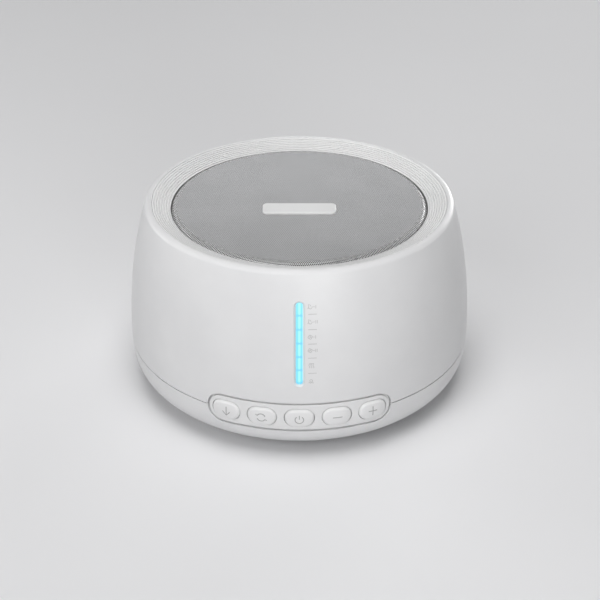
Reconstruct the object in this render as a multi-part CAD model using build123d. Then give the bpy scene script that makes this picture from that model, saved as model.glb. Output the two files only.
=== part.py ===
"""White noise sound machine: a squat round speaker for a bedside table.

A loudspeaker fires up through a round mesh grille set in a grooved dish. A bar of six
lights stands in the front wall, and five domed keys sit in a curved panel below it.

Frame: millimetres, +Z up, the front faces -Y, origin at the centre of the feet's soles.
Heights in this file are above the housing's underside; the feet lift the whole by
FOOT_HEIGHT when the pieces are written. Angles are in degrees from the front, and a
positive angle turns towards +X.
"""
import os
from math import asin, atan2, cos, degrees, hypot, radians, sin, sqrt, tan

from build123d import *

# ---- Body form ----
BODY_RADIUS = 56.0
BODY_HEIGHT = 61.8
WIDEST_HEIGHT = 17.0
UPPER_WALL_ARC = 153.0
LOWER_WALL_ARC = 80.0
CORNER_START = 11.0
WALL = 2.2
LIP_OUTER_ROUND = 2.0
LIP_INNER_ROUND = 0.5
DISH_DEPTH = 4.6
DECK_THICKNESS = 2.0
CUT_ROOM = 6.0

# ---- Seam between the two housings ----
SEAM_HEIGHT = 14.35
SEAM_GROOVE_HEIGHT = 0.38
SEAM_GROOVE_DEPTH = 1.0
TONGUE_THICKNESS = 1.2
TONGUE_RISE = 2.0
TONGUE_ROOT = 2.5
TONGUE_GAP = 0.15

# ---- Grooved ring and grille ----
RING_GAP = 0.1
RING_WIDTH = 5.9
RING_OUTER_DROP = 0.45
RING_INNER_DROP = 2.7
RING_INNER_HEM = 1.1
RING_CORE_WIDTH = 1.6
RING_SKIN = 1.3
GROOVE_COUNT = 6
GROOVE_PITCH = 0.85
GROOVE_RADIUS = 0.26
GROOVE_MARGIN = 0.42
GRILLE_GAP = 0.3
GRILLE_DROP = 2.15
GRILLE_SHEET = 0.5
GRILLE_FLANGE = 2.0
GRILLE_ROLL = 1.6

# ---- Name plate on the grille ----
BADGE_LENGTH = 23.4
BADGE_WIDTH = 6.9
BADGE_THICKNESS = 0.6
BADGE_CORNER = 1.6
BADGE_EDGE = 0.2
BADGE_FORWARD = 5.0
BADGE_STUD_SPACING = 16.0
BADGE_STUD_RADIUS = 0.6
BADGE_STUD_GAP = 0.05

# ---- Case screws, columns and feet ----
CASE_SCREW_ANGLES = (-120, -60, 60, 120)
COLUMN_RADIUS = 3.3
COLUMN_MARGIN = 1.0
COLUMN_FOOT = 12.0
COLUMN_RIB = 1.6
COLUMN_RIB_START = 20.0
STANDOFF_RADIUS = 4.4
CASE_HEAD_RADIUS = 2.6
CASE_HEAD_HEIGHT = 1.8
CASE_HEAD_SEAT = 4.0
CASE_CORE_RADIUS = 1.2
CASE_SCREW_GRIP = 10.0
FOOT_HEIGHT = 1.2
FOOT_RADIUS = 5.5
FOOT_RECESS = 0.6
FOOT_PITCH_RADIUS = 33.0
FOOT_EDGE = 0.3
FOOT_ANGLES = (-135, -45, 45, 135)

# ---- Clearances shared by several pieces ----
SCREW_GAP = 0.05
GLUE_GAP = 0.05
CONTACT_GAP = 0.05
SCREW_HOLE_GAP = 0.3
SCREW_TIP_ROOM = 1.0
EDGE_TOLERANCE = 0.02
RIM_TOLERANCE = 0.3
SOCKET_DEPTH = 0.8
SOCKET_SHARE = 0.45

# ---- Key panel and keys ----
PANEL_HEIGHT = 14.35
PANEL_END_MARGIN = 2.0
PANEL_SIDE_MARGIN = 2.07
PANEL_GAP = 0.15
PANEL_EDGE = 0.12
PANEL_GROOVE = 0.72
PANEL_GROOVE_DEPTH = 0.9
PANEL_ROUND = 0.15
PANEL_SINK = 0.05
PANEL_FLANGE_MARGIN = 1.3
PANEL_FLANGE_GAP = 0.1
PANEL_FLANGE_THICKNESS = 1.2
PANEL_CUT_DEPTH = 12.0
TONGUE_PANEL_ROOM = 0.5
KEY_NAMES = ("timer", "sound", "power", "volume_down", "volume_up")
KEY_SPACING = 2.38
KEY_LENGTH = 9.2
KEY_WIDTH = 6.5
KEY_CORNER = 3.1
KEY_ROUND = 1.1
KEY_CROWN = 16.0
KEY_RISE = 0.9
KEY_GAP = 0.12
KEY_EAR = 1.0
KEY_EAR_THICKNESS = 0.9
KEY_STOP_GAP = 0.1
KEY_STEM_RADIUS = 1.5
KEY_STEM_LENGTH = 1.0
KEY_TRAVEL = 0.4

# ---- Tact switches, flexible board and carrier behind the keys ----
PLUNGER_RADIUS = 1.2
PLUNGER_LENGTH = 1.3
PLUNGER_OUT = 0.7
PLUNGER_GAP = 0.1
SWITCH_SIDE = 4.6
SWITCH_DEPTH = 1.7
SWITCH_EDGE = 0.3
FLEX_THICKNESS = 0.3
FLEX_WIDTH = 8.0
FLEX_TAIL_WIDTH = 8.0
CARRIER_THICKNESS = 1.6
CARRIER_WIDTH = 12.6
CARRIER_PAD_LENGTH = 2.5
CARRIER_PAD_WIDTH = 1.2
CARRIER_NOTCH_MARGIN = 0.6
TAB_MARGIN = 4.1
TAB_LENGTH = 9.0
TAB_DEPTH = 7.0
TAB_THICKNESS = 2.0
BOSS_RADIUS = 2.8

# ---- Light bar: lens, divider, lights and board, square to the wall ----
BAR_TOP_DROP = 9.28
BAR_PANEL_MARGIN = 6.48
BAR_WIDTH = 2.3
BAR_BEVEL = 0.55
BAR_LENS_GAP = 0.15
BAR_LENS_SINK = 0.55
LENS_FLANGE_MARGIN = 1.1
LENS_FLANGE_GAP = 0.1
LENS_BACK = 4.0
LIGHT_COUNT = 6
LIGHT_END_MARGIN = 0.14
DIVIDER_DEPTH = 3.4
DIVIDER_WIDTH = 6.0
DIVIDER_WEB = 0.8
DIVIDER_RIM = 1.6
LIGHT_LENGTH = 2.0
LIGHT_WIDTH = 1.25
LIGHT_HEIGHT = 0.8
LIGHT_BOARD_WIDTH = 17.0
LIGHT_BOARD_THICKNESS = 1.2
LIGHT_BOARD_DROP = 3.4
LIGHT_POST_RADIUS = 2.0
LIGHT_POST_SPACING = 12.0

# ---- Loudspeaker ----
SPEAKER_OPENING = 26.0
FRAME_FLANGE_WIDTH = 3.5
FRAME_FLANGE_THICKNESS = 1.2
FRAME_SHEET = 1.2
FRAME_EAR_RADIUS = 3.4
FRAME_EAR_OUT = 2.1
FRAME_EAR_ANGLES = (-135, -45, 45, 135)
FRAME_DEPTH = 16.9
FRAME_FOOT_RADIUS = 18.0
FRAME_FLOOR_BORE = 9.5
FRAME_WINDOW = 15.0
GASKET_THICKNESS = 0.7
GASKET_SETBACK = 0.3
SURROUND_SHEET = 0.3
SURROUND_ROLL = 2.1
SURROUND_CLEARANCE = 0.4
CONE_LIP = 0.9
CONE_LIP_THICKNESS = 0.5
CONE_SHEET = 0.5
CONE_DEPTH = 11.0
CONE_TRAVEL = 1.2
COIL_RADIUS = 6.85
COIL_FORMER = 0.2
COIL_WINDING = 0.2
COIL_WINDING_LENGTH = 5.5
COIL_GAP = 0.3
SPIDER_SHEET = 0.3
SPIDER_CORRUGATION = 0.5
SPIDER_FOLDS = 3
SPIDER_LIP = 1.4
SPIDER_SHELF_WIDTH = 2.2
SPIDER_SHELF_HEIGHT = 2.4
DUST_CAP_RADIUS = 9.0
DUST_CAP_RISE = 2.4
TOP_PLATE_RADIUS = 19.0
TOP_PLATE_THICKNESS = 3.0
MAGNET_RADIUS = 21.0
MAGNET_BORE = 10.0
MAGNET_THICKNESS = 8.0
YOKE_RADIUS = 20.0
YOKE_THICKNESS = 2.0
SPEAKER_SCREW_CORE = 1.2
SPEAKER_SCREW_HEAD = 2.4
SPEAKER_SCREW_HEAD_HEIGHT = 1.6
SPEAKER_BOSS_RADIUS = 3.0
SPEAKER_BOSS_RISE = 1.0
TERMINAL_WIDTH = 10.0
TERMINAL_DEPTH = 5.0
TERMINAL_THICKNESS = 1.0
TERMINAL_TAB_THICKNESS = 1.2
TERMINAL_REACH = 8.0

# ---- Small self-tapping screws ----
SMALL_CORE_RADIUS = 0.85
SMALL_HEAD_RADIUS = 1.8
SMALL_HEAD_HEIGHT = 1.3
SMALL_SCREW_GRIP = 3.5
RING_SCREW_ANGLES = (-150, -30, 30, 150)
RING_SCREW_GRIP = 1.6
RING_BOSS_RADIUS = 2.0

# ---- Main board and power inlet ----
BOARD_THICKNESS = 1.6
BOARD_UNDERSIDE = 6.0
BOARD_LENGTH = 56.0
BOARD_FRONT = 24.0
BOARD_BACK = 26.0
BOARD_CORNER = 3.0
BOARD_TONGUE = 22.0
BOARD_HOLE_INSET = 4.5
BOARD_HOLE_Y = 18.0
POST_RADIUS = 2.8
INLET_WIDTH = 8.94
INLET_HEIGHT = 3.26
INLET_DEPTH = 7.35
INLET_SHEET = 0.3
INLET_TONGUE_WIDTH = 6.7
INLET_TONGUE_THICKNESS = 0.7
INLET_TONGUE_SETBACK = 1.1
INLET_BASE = 1.5
INLET_HOLE_GAP = 0.1
POCKET_WIDTH = 13.0
POCKET_HEIGHT = 7.0
POCKET_CORNER = 2.0
POCKET_DEPTH = 4.6
POCKET_WALL = 1.2
BOARD_POCKET_GAP = 0.3
FLEX_CONNECTOR_LENGTH = 11.0
FLEX_CONNECTOR_DEPTH = 4.0
FLEX_CONNECTOR_HEIGHT = 2.4
FLEX_CONNECTOR_SETBACK = 1.0
TAIL_RISE = 1.2

# ---- Parts on the main board: length, width, height, then x and y of the middle ----
CONTROL_CHIP = (7.0, 7.0, 1.0, -9.0, -7.0)
MEMORY_CHIP = (5.2, 5.2, 1.8, -9.0, 5.0)
AMPLIFIER_CHIP = (5.0, 6.4, 1.2, 9.0, 8.0)
LIGHT_SOCKET = (10.0, 4.0, 4.0, 13.0, -18.0)
SPEAKER_SOCKET = (7.5, 5.0, 5.0, 0.0, 33.0)
CHOKE = (5.0, 5.0, 3.0)
CHOKE_INSET = 10.0
CHOKE_PLACES = (4.0, 11.0)
CAPACITORS = ((3.15, 7.0, -18.0, 8.0), (3.15, 7.0, 9.0, -3.0))

# ---- Leads inside the case; the speaker lead's points rise from its frame's foot ----
LEAD_BEND_SHARE = 0.45
LIGHT_LEAD_RADIUS = 0.8
LIGHT_LEAD_FIRST_RUN = Vector(0, 4.0, -0.6)
LIGHT_LEAD_POINTS = ((2.5, -38.0, 17.5), (11.0, -29.0, 18.0))
LIGHT_LEAD_DROP = 5.4
SPEAKER_LEAD_RADIUS = 1.0
SPEAKER_LEAD_RISE = 5.0
SPEAKER_LEAD_POINTS = ((1.0, 32.0, 8.7), (2.0, 37.0, 2.7), (2.0, 37.0, -9.3))
SPEAKER_LEAD_DROP = 8.4

# ---- Derived levels and radii ----
UPPER_CENTRE = Vector(BODY_RADIUS - UPPER_WALL_ARC, WIDEST_HEIGHT)
LOWER_CENTRE = Vector(BODY_RADIUS - LOWER_WALL_ARC, WIDEST_HEIGHT)
CORNER_SLOPE = asin((WIDEST_HEIGHT - CORNER_START) / LOWER_WALL_ARC)
CORNER_ROUND = CORNER_START / (1 - sin(CORNER_SLOPE))
CORNER_CENTRE = Vector(
    LOWER_CENTRE.X + (LOWER_WALL_ARC - CORNER_ROUND) * cos(CORNER_SLOPE), CORNER_ROUND
)
LIP_CENTRE_HEIGHT = BODY_HEIGHT - LIP_OUTER_ROUND
LIP_CREST_RADIUS = UPPER_CENTRE.X + sqrt(
    (UPPER_WALL_ARC - LIP_OUTER_ROUND) ** 2 - (LIP_CENTRE_HEIGHT - WIDEST_HEIGHT) ** 2
)
DISH_RADIUS = LIP_CREST_RADIUS - LIP_INNER_ROUND
DECK_TOP = BODY_HEIGHT - DISH_DEPTH
DECK_BOTTOM = DECK_TOP - DECK_THICKNESS
RING_OUTER_RADIUS = DISH_RADIUS - RING_GAP
RING_INNER_RADIUS = RING_OUTER_RADIUS - RING_WIDTH
GRILLE_RADIUS = RING_INNER_RADIUS - GRILLE_GAP
GRILLE_TOP = BODY_HEIGHT - GRILLE_DROP
GRILLE_FLANGE_TOP = DECK_TOP + GRILLE_SHEET
OUTSIDE = BODY_RADIUS + CUT_ROOM
FRONT = -90.0


def wall_radius(height, inset=0.0):
    """The body's radius at a height, measured to a surface set in from its outside."""
    corner_top = CORNER_CENTRE.Y - (CORNER_ROUND - inset) * sin(CORNER_SLOPE)
    if height >= WIDEST_HEIGHT:
        centre, arc = UPPER_CENTRE, UPPER_WALL_ARC
    elif height >= corner_top:
        centre, arc = LOWER_CENTRE, LOWER_WALL_ARC
    else:
        centre, arc = CORNER_CENTRE, CORNER_ROUND
    return centre.X + sqrt((arc - inset) ** 2 - (height - centre.Y) ** 2)


COLUMN_PITCH_RADIUS = CORNER_CENTRE.X - CASE_HEAD_RADIUS - SCREW_HOLE_GAP - COLUMN_MARGIN
KEY_PITCH = KEY_LENGTH + KEY_SPACING
KEY_PITCH_ANGLE = degrees(KEY_PITCH / BODY_RADIUS)
PANEL_LENGTH = (len(KEY_NAMES) - 1) * KEY_PITCH + KEY_LENGTH + 2 * PANEL_END_MARGIN
PANEL_WIDTH = KEY_WIDTH + 2 * PANEL_SIDE_MARGIN
PANEL_END_ANGLE = degrees((PANEL_LENGTH - PANEL_WIDTH) / 2 / BODY_RADIUS)
TAB_ANGLE = degrees((PANEL_LENGTH / 2 + TAB_MARGIN) / BODY_RADIUS)
PANEL_BACK = WALL + PANEL_FLANGE_GAP + PANEL_FLANGE_THICKNESS
KEY_CREST = wall_radius(PANEL_HEIGHT) + KEY_RISE
KEY_EAR_FRONT = (
    sqrt(wall_radius(PANEL_HEIGHT - KEY_WIDTH / 2 - KEY_EAR, PANEL_BACK) ** 2 - (KEY_LENGTH / 2) ** 2)
    - KEY_STOP_GAP
)
KEY_BACK = KEY_EAR_FRONT - KEY_EAR_THICKNESS
PLUNGER_FRONT = KEY_BACK - KEY_STEM_LENGTH
SWITCH_FRONT = PLUNGER_FRONT - PLUNGER_OUT
FLEX_FRONT = SWITCH_FRONT - SWITCH_DEPTH
CARRIER_FRONT = FLEX_FRONT - FLEX_THICKNESS
CARRIER_BACK = CARRIER_FRONT - CARRIER_THICKNESS
CARRIER_BOTTOM = PANEL_HEIGHT - CARRIER_WIDTH / 2
TAB_BACK = CARRIER_FRONT - TAB_DEPTH
TAB_SCREW_RADIUS = CARRIER_BACK - SMALL_HEAD_RADIUS - SCREW_HOLE_GAP
BOARD_TOP = BOARD_UNDERSIDE + BOARD_THICKNESS
TAIL_HEIGHT = BOARD_TOP + TAIL_RISE
INLET_AXIS_HEIGHT = BOARD_TOP + INLET_HEIGHT / 2
POCKET_FLOOR = wall_radius(INLET_AXIS_HEIGHT) - POCKET_DEPTH
BOARD_END = POCKET_FLOOR - POCKET_WALL - BOARD_POCKET_GAP
BOARD_HOLE_X = BOARD_LENGTH / 2 - BOARD_HOLE_INSET
BAR_TOP = BODY_HEIGHT - BAR_TOP_DROP
BAR_BOTTOM = PANEL_HEIGHT + PANEL_WIDTH / 2 + BAR_PANEL_MARGIN
BAR_HEIGHT = (BAR_TOP + BAR_BOTTOM) / 2
BAR_SLOPE = degrees(asin((BAR_HEIGHT - WIDEST_HEIGHT) / UPPER_WALL_ARC))
BAR_LENGTH = (BAR_TOP - BAR_BOTTOM) / cos(radians(BAR_SLOPE))
LIGHT_PITCH = (BAR_LENGTH - 2 * LIGHT_END_MARGIN) / LIGHT_COUNT
SURROUND_LIP_INNER = SPEAKER_OPENING - SURROUND_CLEARANCE
SURROUND_BASE = DECK_BOTTOM - GASKET_THICKNESS - SURROUND_SHEET
FRAME_TOP = SURROUND_BASE
FRAME_UNDERSIDE = FRAME_TOP - FRAME_FLANGE_THICKNESS
FRAME_FLANGE_RADIUS = SPEAKER_OPENING + FRAME_FLANGE_WIDTH
FRAME_EAR_PITCH_RADIUS = FRAME_FLANGE_RADIUS + FRAME_EAR_OUT
SEAT_OUTER = FRAME_EAR_PITCH_RADIUS - SPEAKER_BOSS_RADIUS - SCREW_HOLE_GAP
FRAME_FOOT = FRAME_TOP - FRAME_DEPTH
CONE_LIP_OUTER = SURROUND_LIP_INNER - 2 * SURROUND_ROLL
CONE_LIP_INNER = CONE_LIP_OUTER - CONE_LIP
CONE_TOP = SURROUND_BASE - CONE_LIP_THICKNESS
CONE_NECK = COIL_RADIUS + COIL_FORMER + GLUE_GAP
CONE_BOTTOM = CONE_TOP - CONE_DEPTH
TOP_PLATE_BOTTOM = FRAME_FOOT - TOP_PLATE_THICKNESS
MAGNET_BOTTOM = TOP_PLATE_BOTTOM - MAGNET_THICKNESS
SPIDER_BASE = FRAME_FOOT + SPIDER_SHELF_HEIGHT
TERMINAL_OUT = FRAME_FOOT_RADIUS + TERMINAL_REACH


# ---- Drawing helpers ----
def arc_about(centre, start, end):
    """The short arc about a centre from one point to another."""
    centre, start, end = Vector(*centre), Vector(*start), Vector(*end)
    middle = (start + end) / 2 - centre
    return ThreePointArc(start, centre + middle.normalized() * (start - centre).length, end)


def turned(*curves):
    """A full turn about the vertical axis of an outline drawn as (radius, height)."""
    return revolve(Plane.XZ * make_face(Curve() + list(curves)), Axis.Z)


def turned_outline(*points):
    """A full turn of a straight-sided outline of (radius, height) points."""
    return revolve(Plane.XZ * make_face(Polyline(*points, close=True)), Axis.Z)


def disc(radius, low, high, x=0.0, y=0.0):
    """An upright cylinder between two heights."""
    return Pos(x, y, low) * extrude(Circle(radius), high - low)


def ring(inner, outer, low, high):
    """A flat ring between two heights."""
    return Pos(0, 0, low) * extrude(Circle(outer) - Circle(inner), high - low)


def block(x_span, y_span, z_span):
    """A box given by its two ends along each axis."""
    sides = [high - low for low, high in (x_span, y_span, z_span)]
    corner = Pos(x_span[0], y_span[0], z_span[0])
    return corner * Box(*sides, align=Align.MIN)


def turn(angle):
    """The turn about the vertical axis from the front to an angle."""
    return Rot(0, 0, angle)


def place(angle, radius):
    """The point at an angle from the front and a distance from the axis."""
    return radius * sin(radians(angle)), -radius * cos(radians(angle))


def front_plane(radius, height):
    """A plane that faces the front, at a distance from the axis: its x is +X, its y is up."""
    return Plane(origin=(0, -radius, height), x_dir=(1, 0, 0), z_dir=(0, -1, 0))


def outward(sketch, near, far, height):
    """A sketch drawn facing the front, run from one distance from the axis to another."""
    return extrude(front_plane(near, height) * sketch, far - near)


def union(pieces):
    """Several shapes as one part; those that stay apart stay separate solids."""
    return Part() + list(pieces)


def screw(core, head, head_height, length, x, y, seat, up=True):
    """A pan-head screw at its core size; seat is where the head meets what it holds."""
    way = 1 if up else -1
    shank = Cylinder(core, length, align=(Align.CENTER, Align.CENTER, Align.MIN))
    cap = Pos(0, 0, -head_height) * extrude(Circle(head), head_height)
    cap = fillet(cap.edges().group_by(Axis.Z)[0], head_height * SOCKET_SHARE)
    slot = Pos(0, 0, -head_height) * extrude(RegularPolygon(head * SOCKET_SHARE, 6), SOCKET_DEPTH)
    return Pos(x, y, seat) * Rot(0 if way > 0 else 180, 0, 0) * (cap - slot + shank)


def body_form(inset, top):
    """The body's outer form, shrunk by an inset and cut off flat at a height."""
    corner = CORNER_ROUND - inset
    floor_end = Vector(CORNER_CENTRE.X, inset)
    side_start = CORNER_CENTRE + Vector(corner * cos(CORNER_SLOPE), -corner * sin(CORNER_SLOPE))
    widest = Vector(BODY_RADIUS - inset, WIDEST_HEIGHT)
    top_edge = Vector(wall_radius(top, inset), top)
    return turned(
        Line((0, inset), floor_end),
        arc_about(CORNER_CENTRE, floor_end, side_start),
        arc_about(LOWER_CENTRE, side_start, widest),
        arc_about(UPPER_CENTRE, widest, top_edge),
        Line(top_edge, (0, top)),
        Line((0, top), (0, inset)),
    )


def shell(outer_inset, inner_inset):
    """The layer of the body's wall between two insets, up to the deck."""
    return body_form(outer_inset, DECK_BOTTOM) - body_form(inner_inset, DECK_BOTTOM)


def panel_form(margin):
    """The key panel's outline, an obround bent round the body, grown by a margin."""
    half_width = PANEL_WIDTH / 2 + margin
    near = BODY_RADIUS - PANEL_CUT_DEPTH
    section = Pos((near + OUTSIDE) / 2, PANEL_HEIGHT) * Rectangle(OUTSIDE - near, 2 * half_width)
    band = revolve(Plane.XZ * section, Axis.Z, 2 * PANEL_END_ANGLE)
    end = outward(Circle(half_width), near, OUTSIDE, PANEL_HEIGHT)
    ends = [turn(side * PANEL_END_ANGLE) * end for side in (-1, 1)]
    return turn(FRONT - PANEL_END_ANGLE) * band + ends


def outside_edges(shape, inset, chosen):
    """A shape's edges on the body's outside, set in by an inset, whose middles are chosen."""
    found = []
    for edge in shape.edges():
        middle = edge @ 0.5
        off = hypot(middle.X, middle.Y) - wall_radius(middle.Z, inset)
        if abs(off) < EDGE_TOLERANCE and chosen(middle):
            found.append(edge)
    return found


def panel_rim(shape, inset, margin=0.0):
    """A shape's edges along the key panel's outline, grown by a margin."""
    def chosen(point):
        beyond = abs(degrees(atan2(point.X, -point.Y))) - PANEL_END_ANGLE
        along = BODY_RADIUS * radians(max(beyond, 0))
        off = hypot(along, point.Z - PANEL_HEIGHT) - PANEL_WIDTH / 2 - margin
        return abs(off) < RIM_TOLERANCE

    return outside_edges(shape, inset, chosen)


def bar_rim(shape):
    """A shape's edges along the light bar's slot."""
    def chosen(point):
        off = abs(point.Z - BAR_HEIGHT) - (BAR_TOP - BAR_BOTTOM) / 2
        return point.Y < 0 and abs(point.X) < BAR_WIDTH and off < RIM_TOLERANCE

    return outside_edges(shape, 0, chosen)


def key_outline(margin=0.0):
    """A key's rounded outline, grown by a margin."""
    return RectangleRounded(KEY_LENGTH + 2 * margin, KEY_WIDTH + 2 * margin, KEY_CORNER + margin)


def key_angles():
    """Each key's name with its angle."""
    middle = (len(KEY_NAMES) - 1) / 2
    return [(name, (i - middle) * KEY_PITCH_ANGLE) for i, name in enumerate(KEY_NAMES)]


def bar_frame():
    """The light bar's plane: origin on the wall, y along the wall, z straight out of it."""
    slope = radians(BAR_SLOPE)
    return Plane(
        origin=(0, -wall_radius(BAR_HEIGHT), BAR_HEIGHT),
        x_dir=(1, 0, 0),
        z_dir=(0, -cos(slope), sin(slope)),
    )


def on_bar(sketch, back, front):
    """A sketch drawn on the light bar's plane, run between two depths behind the wall."""
    return extrude(bar_frame().offset(-back) * sketch, back - front)


def light_places():
    """Each light's place along the bar."""
    middle = (LIGHT_COUNT - 1) / 2
    return [(i - middle) * LIGHT_PITCH for i in range(LIGHT_COUNT)]


# ---- Housings ----
def upper_wall():
    """The upper housing's wall, lip, dish and deck, as one turned outline."""
    lip_centre = Vector(LIP_CREST_RADIUS, LIP_CENTRE_HEIGHT)
    lip_start = UPPER_CENTRE + (lip_centre - UPPER_CENTRE).normalized() * UPPER_WALL_ARC
    seam_out = Vector(wall_radius(SEAM_HEIGHT), SEAM_HEIGHT)
    widest = Vector(BODY_RADIUS, WIDEST_HEIGHT)
    crest = Vector(LIP_CREST_RADIUS, BODY_HEIGHT)
    round_centre = Vector(LIP_CREST_RADIUS, BODY_HEIGHT - LIP_INNER_ROUND)
    dish_edge = Vector(DISH_RADIUS, BODY_HEIGHT - LIP_INNER_ROUND)
    under_deck = Vector(wall_radius(DECK_BOTTOM, WALL), DECK_BOTTOM)
    inner_widest = Vector(BODY_RADIUS - WALL, WIDEST_HEIGHT)
    seam_in = Vector(wall_radius(SEAM_HEIGHT, WALL), SEAM_HEIGHT)
    return turned(
        arc_about(LOWER_CENTRE, seam_out, widest),
        arc_about(UPPER_CENTRE, widest, lip_start),
        arc_about(lip_centre, lip_start, crest),
        arc_about(round_centre, crest, dish_edge),
        Line(dish_edge, (DISH_RADIUS, DECK_TOP)),
        Line((DISH_RADIUS, DECK_TOP), (SPEAKER_OPENING, DECK_TOP)),
        Line((SPEAKER_OPENING, DECK_TOP), (SPEAKER_OPENING, DECK_BOTTOM)),
        Line((SPEAKER_OPENING, DECK_BOTTOM), under_deck),
        arc_about(UPPER_CENTRE, under_deck, inner_widest),
        arc_about(LOWER_CENTRE, inner_widest, seam_in),
        Line(seam_in, seam_out),
    )


def case_columns():
    """The columns that take the case screws, each joined to the wall by a rib."""
    column = disc(COLUMN_RADIUS, COLUMN_FOOT, DECK_BOTTOM, 0, -COLUMN_PITCH_RADIUS)
    rib = block(
        (-COLUMN_RIB / 2, COLUMN_RIB / 2),
        (-BODY_RADIUS, -COLUMN_PITCH_RADIUS),
        (COLUMN_RIB_START, DECK_BOTTOM),
    )
    one = column + (rib & body_form(WALL / 2, DECK_BOTTOM))
    return [turn(angle) * one for angle in CASE_SCREW_ANGLES]


def upper_housing():
    """The wall with its lip and deck, columns, speaker bosses and light bar posts."""
    groove_inner = wall_radius(SEAM_HEIGHT) - SEAM_GROOVE_DEPTH
    groove = ring(groove_inner, OUTSIDE, SEAM_HEIGHT, SEAM_HEIGHT + SEAM_GROOVE_HEIGHT)
    boss_top = DECK_TOP + SPEAKER_BOSS_RISE
    posts = on_bar(light_post_sketch(LIGHT_POST_RADIUS), light_board_front(), WALL / 2)
    post_holes = on_bar(light_post_sketch(SMALL_CORE_RADIUS + SCREW_GAP), light_board_front(), WALL)
    wall = upper_wall() - panel_form(0)
    wall = fillet(panel_rim(wall, 0), PANEL_EDGE)
    wall -= on_bar(SlotOverall(BAR_LENGTH, BAR_WIDTH, 90), LENS_BACK, -LENS_BACK)
    wall = chamfer(bar_rim(wall), BAR_BEVEL)
    housing = wall + case_columns() + posts
    housing += [disc(SPEAKER_BOSS_RADIUS, FRAME_TOP, boss_top, x, y) for x, y in ear_places()]
    housing -= groove
    housing -= post_holes
    pilot = CASE_CORE_RADIUS + SCREW_GAP
    pilot_top = CASE_HEAD_SEAT + case_screw_length() + SCREW_TIP_ROOM
    for angle in CASE_SCREW_ANGLES:
        housing -= disc(pilot, 0, pilot_top, *place(angle, COLUMN_PITCH_RADIUS))
    for x, y in ear_places():
        housing -= disc(SPEAKER_SCREW_CORE + SCREW_GAP, FRAME_TOP, boss_top, x, y)
    for angle in RING_SCREW_ANGLES:
        hole = SMALL_CORE_RADIUS + SCREW_HOLE_GAP
        housing -= disc(hole, DECK_BOTTOM, DECK_TOP, *place(angle, ring_screw_radius()))
    return housing


def case_screw_length():
    """From the head's seat up through the standoff and into the column."""
    return COLUMN_FOOT - CASE_HEAD_SEAT + CASE_SCREW_GRIP


def lower_wall():
    """The lower housing's floor and side, with the tongue that locates the upper one."""
    below_seam = disc(OUTSIDE, 0, SEAM_HEIGHT)
    tub = shell(0, WALL) & below_seam
    tongue_outer = wall_radius(SEAM_HEIGHT, WALL) - TONGUE_GAP
    tongue_inner = tongue_outer - TONGUE_THICKNESS
    root = ring(tongue_inner, BODY_RADIUS, SEAM_HEIGHT - TONGUE_ROOT, SEAM_HEIGHT)
    root = root & body_form(WALL / 2, DECK_BOTTOM)
    tongue = ring(tongue_inner, tongue_outer, SEAM_HEIGHT, SEAM_HEIGHT + TONGUE_RISE)
    tongue = (tongue + root) - panel_form(PANEL_FLANGE_MARGIN + TONGUE_PANEL_ROOM)
    tub -= panel_form(0)
    return fillet(panel_rim(tub, 0), PANEL_EDGE) + tongue


def pocket_sketch(margin=0.0):
    """The outline of the pocket that a power plug enters, grown by a margin."""
    return RectangleRounded(
        POCKET_WIDTH + 2 * margin, POCKET_HEIGHT + 2 * margin, POCKET_CORNER + margin
    )


def inlet_sketch(margin=0.0):
    """The power inlet's outline, grown by a margin."""
    return SlotOverall(INLET_WIDTH + 2 * margin, INLET_HEIGHT + 2 * margin)


def rearward(sketch, near, far, height):
    """A sketch drawn facing the back, run from one distance from the axis to another."""
    return turn(180) * outward(sketch, near, far, height)


def lower_housing():
    """The tub with its screw standoffs, board posts, carrier bosses and plug pocket."""
    far = OUTSIDE
    pocket_back = POCKET_FLOOR - POCKET_WALL
    cup = rearward(pocket_sketch(POCKET_WALL), pocket_back, far, INLET_AXIS_HEIGHT)
    housing = lower_wall() + (cup & body_form(WALL / 2, DECK_BOTTOM))
    housing += [
        disc(STANDOFF_RADIUS, WALL / 2, COLUMN_FOOT, *place(angle, COLUMN_PITCH_RADIUS))
        for angle in CASE_SCREW_ANGLES
    ]
    housing += [disc(POST_RADIUS, WALL / 2, BOARD_UNDERSIDE, x, y) for x, y in board_holes()]
    housing += [disc(BOSS_RADIUS, WALL / 2, CARRIER_BOTTOM, x, y) for x, y in tab_holes()]
    housing -= rearward(pocket_sketch(), POCKET_FLOOR, far, INLET_AXIS_HEIGHT)
    housing -= rearward(inlet_sketch(INLET_HOLE_GAP), pocket_back - WALL, far, INLET_AXIS_HEIGHT)
    for angle in CASE_SCREW_ANGLES:
        x, y = place(angle, COLUMN_PITCH_RADIUS)
        housing -= disc(CASE_HEAD_RADIUS + SCREW_HOLE_GAP, 0, CASE_HEAD_SEAT, x, y)
        housing -= disc(CASE_CORE_RADIUS + SCREW_HOLE_GAP, 0, COLUMN_FOOT, x, y)
    pilot = SMALL_CORE_RADIUS + SCREW_GAP
    for x, y in board_holes():
        housing -= disc(pilot, WALL, BOARD_UNDERSIDE, x, y)
    for x, y in tab_holes():
        housing -= disc(pilot, WALL, CARRIER_BOTTOM, x, y)
    for angle in FOOT_ANGLES:
        housing -= disc(FOOT_RADIUS + SCREW_GAP, 0, FOOT_RECESS, *place(angle, FOOT_PITCH_RADIUS))
    return housing


def rubber_feet():
    """Four soft discs set in the underside."""
    foot = disc(FOOT_RADIUS, -FOOT_HEIGHT, FOOT_RECESS)
    foot = fillet(foot.edges().group_by(Axis.Z)[0], FOOT_EDGE)
    return union(Pos(*place(angle, FOOT_PITCH_RADIUS)) * foot for angle in FOOT_ANGLES)


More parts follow.
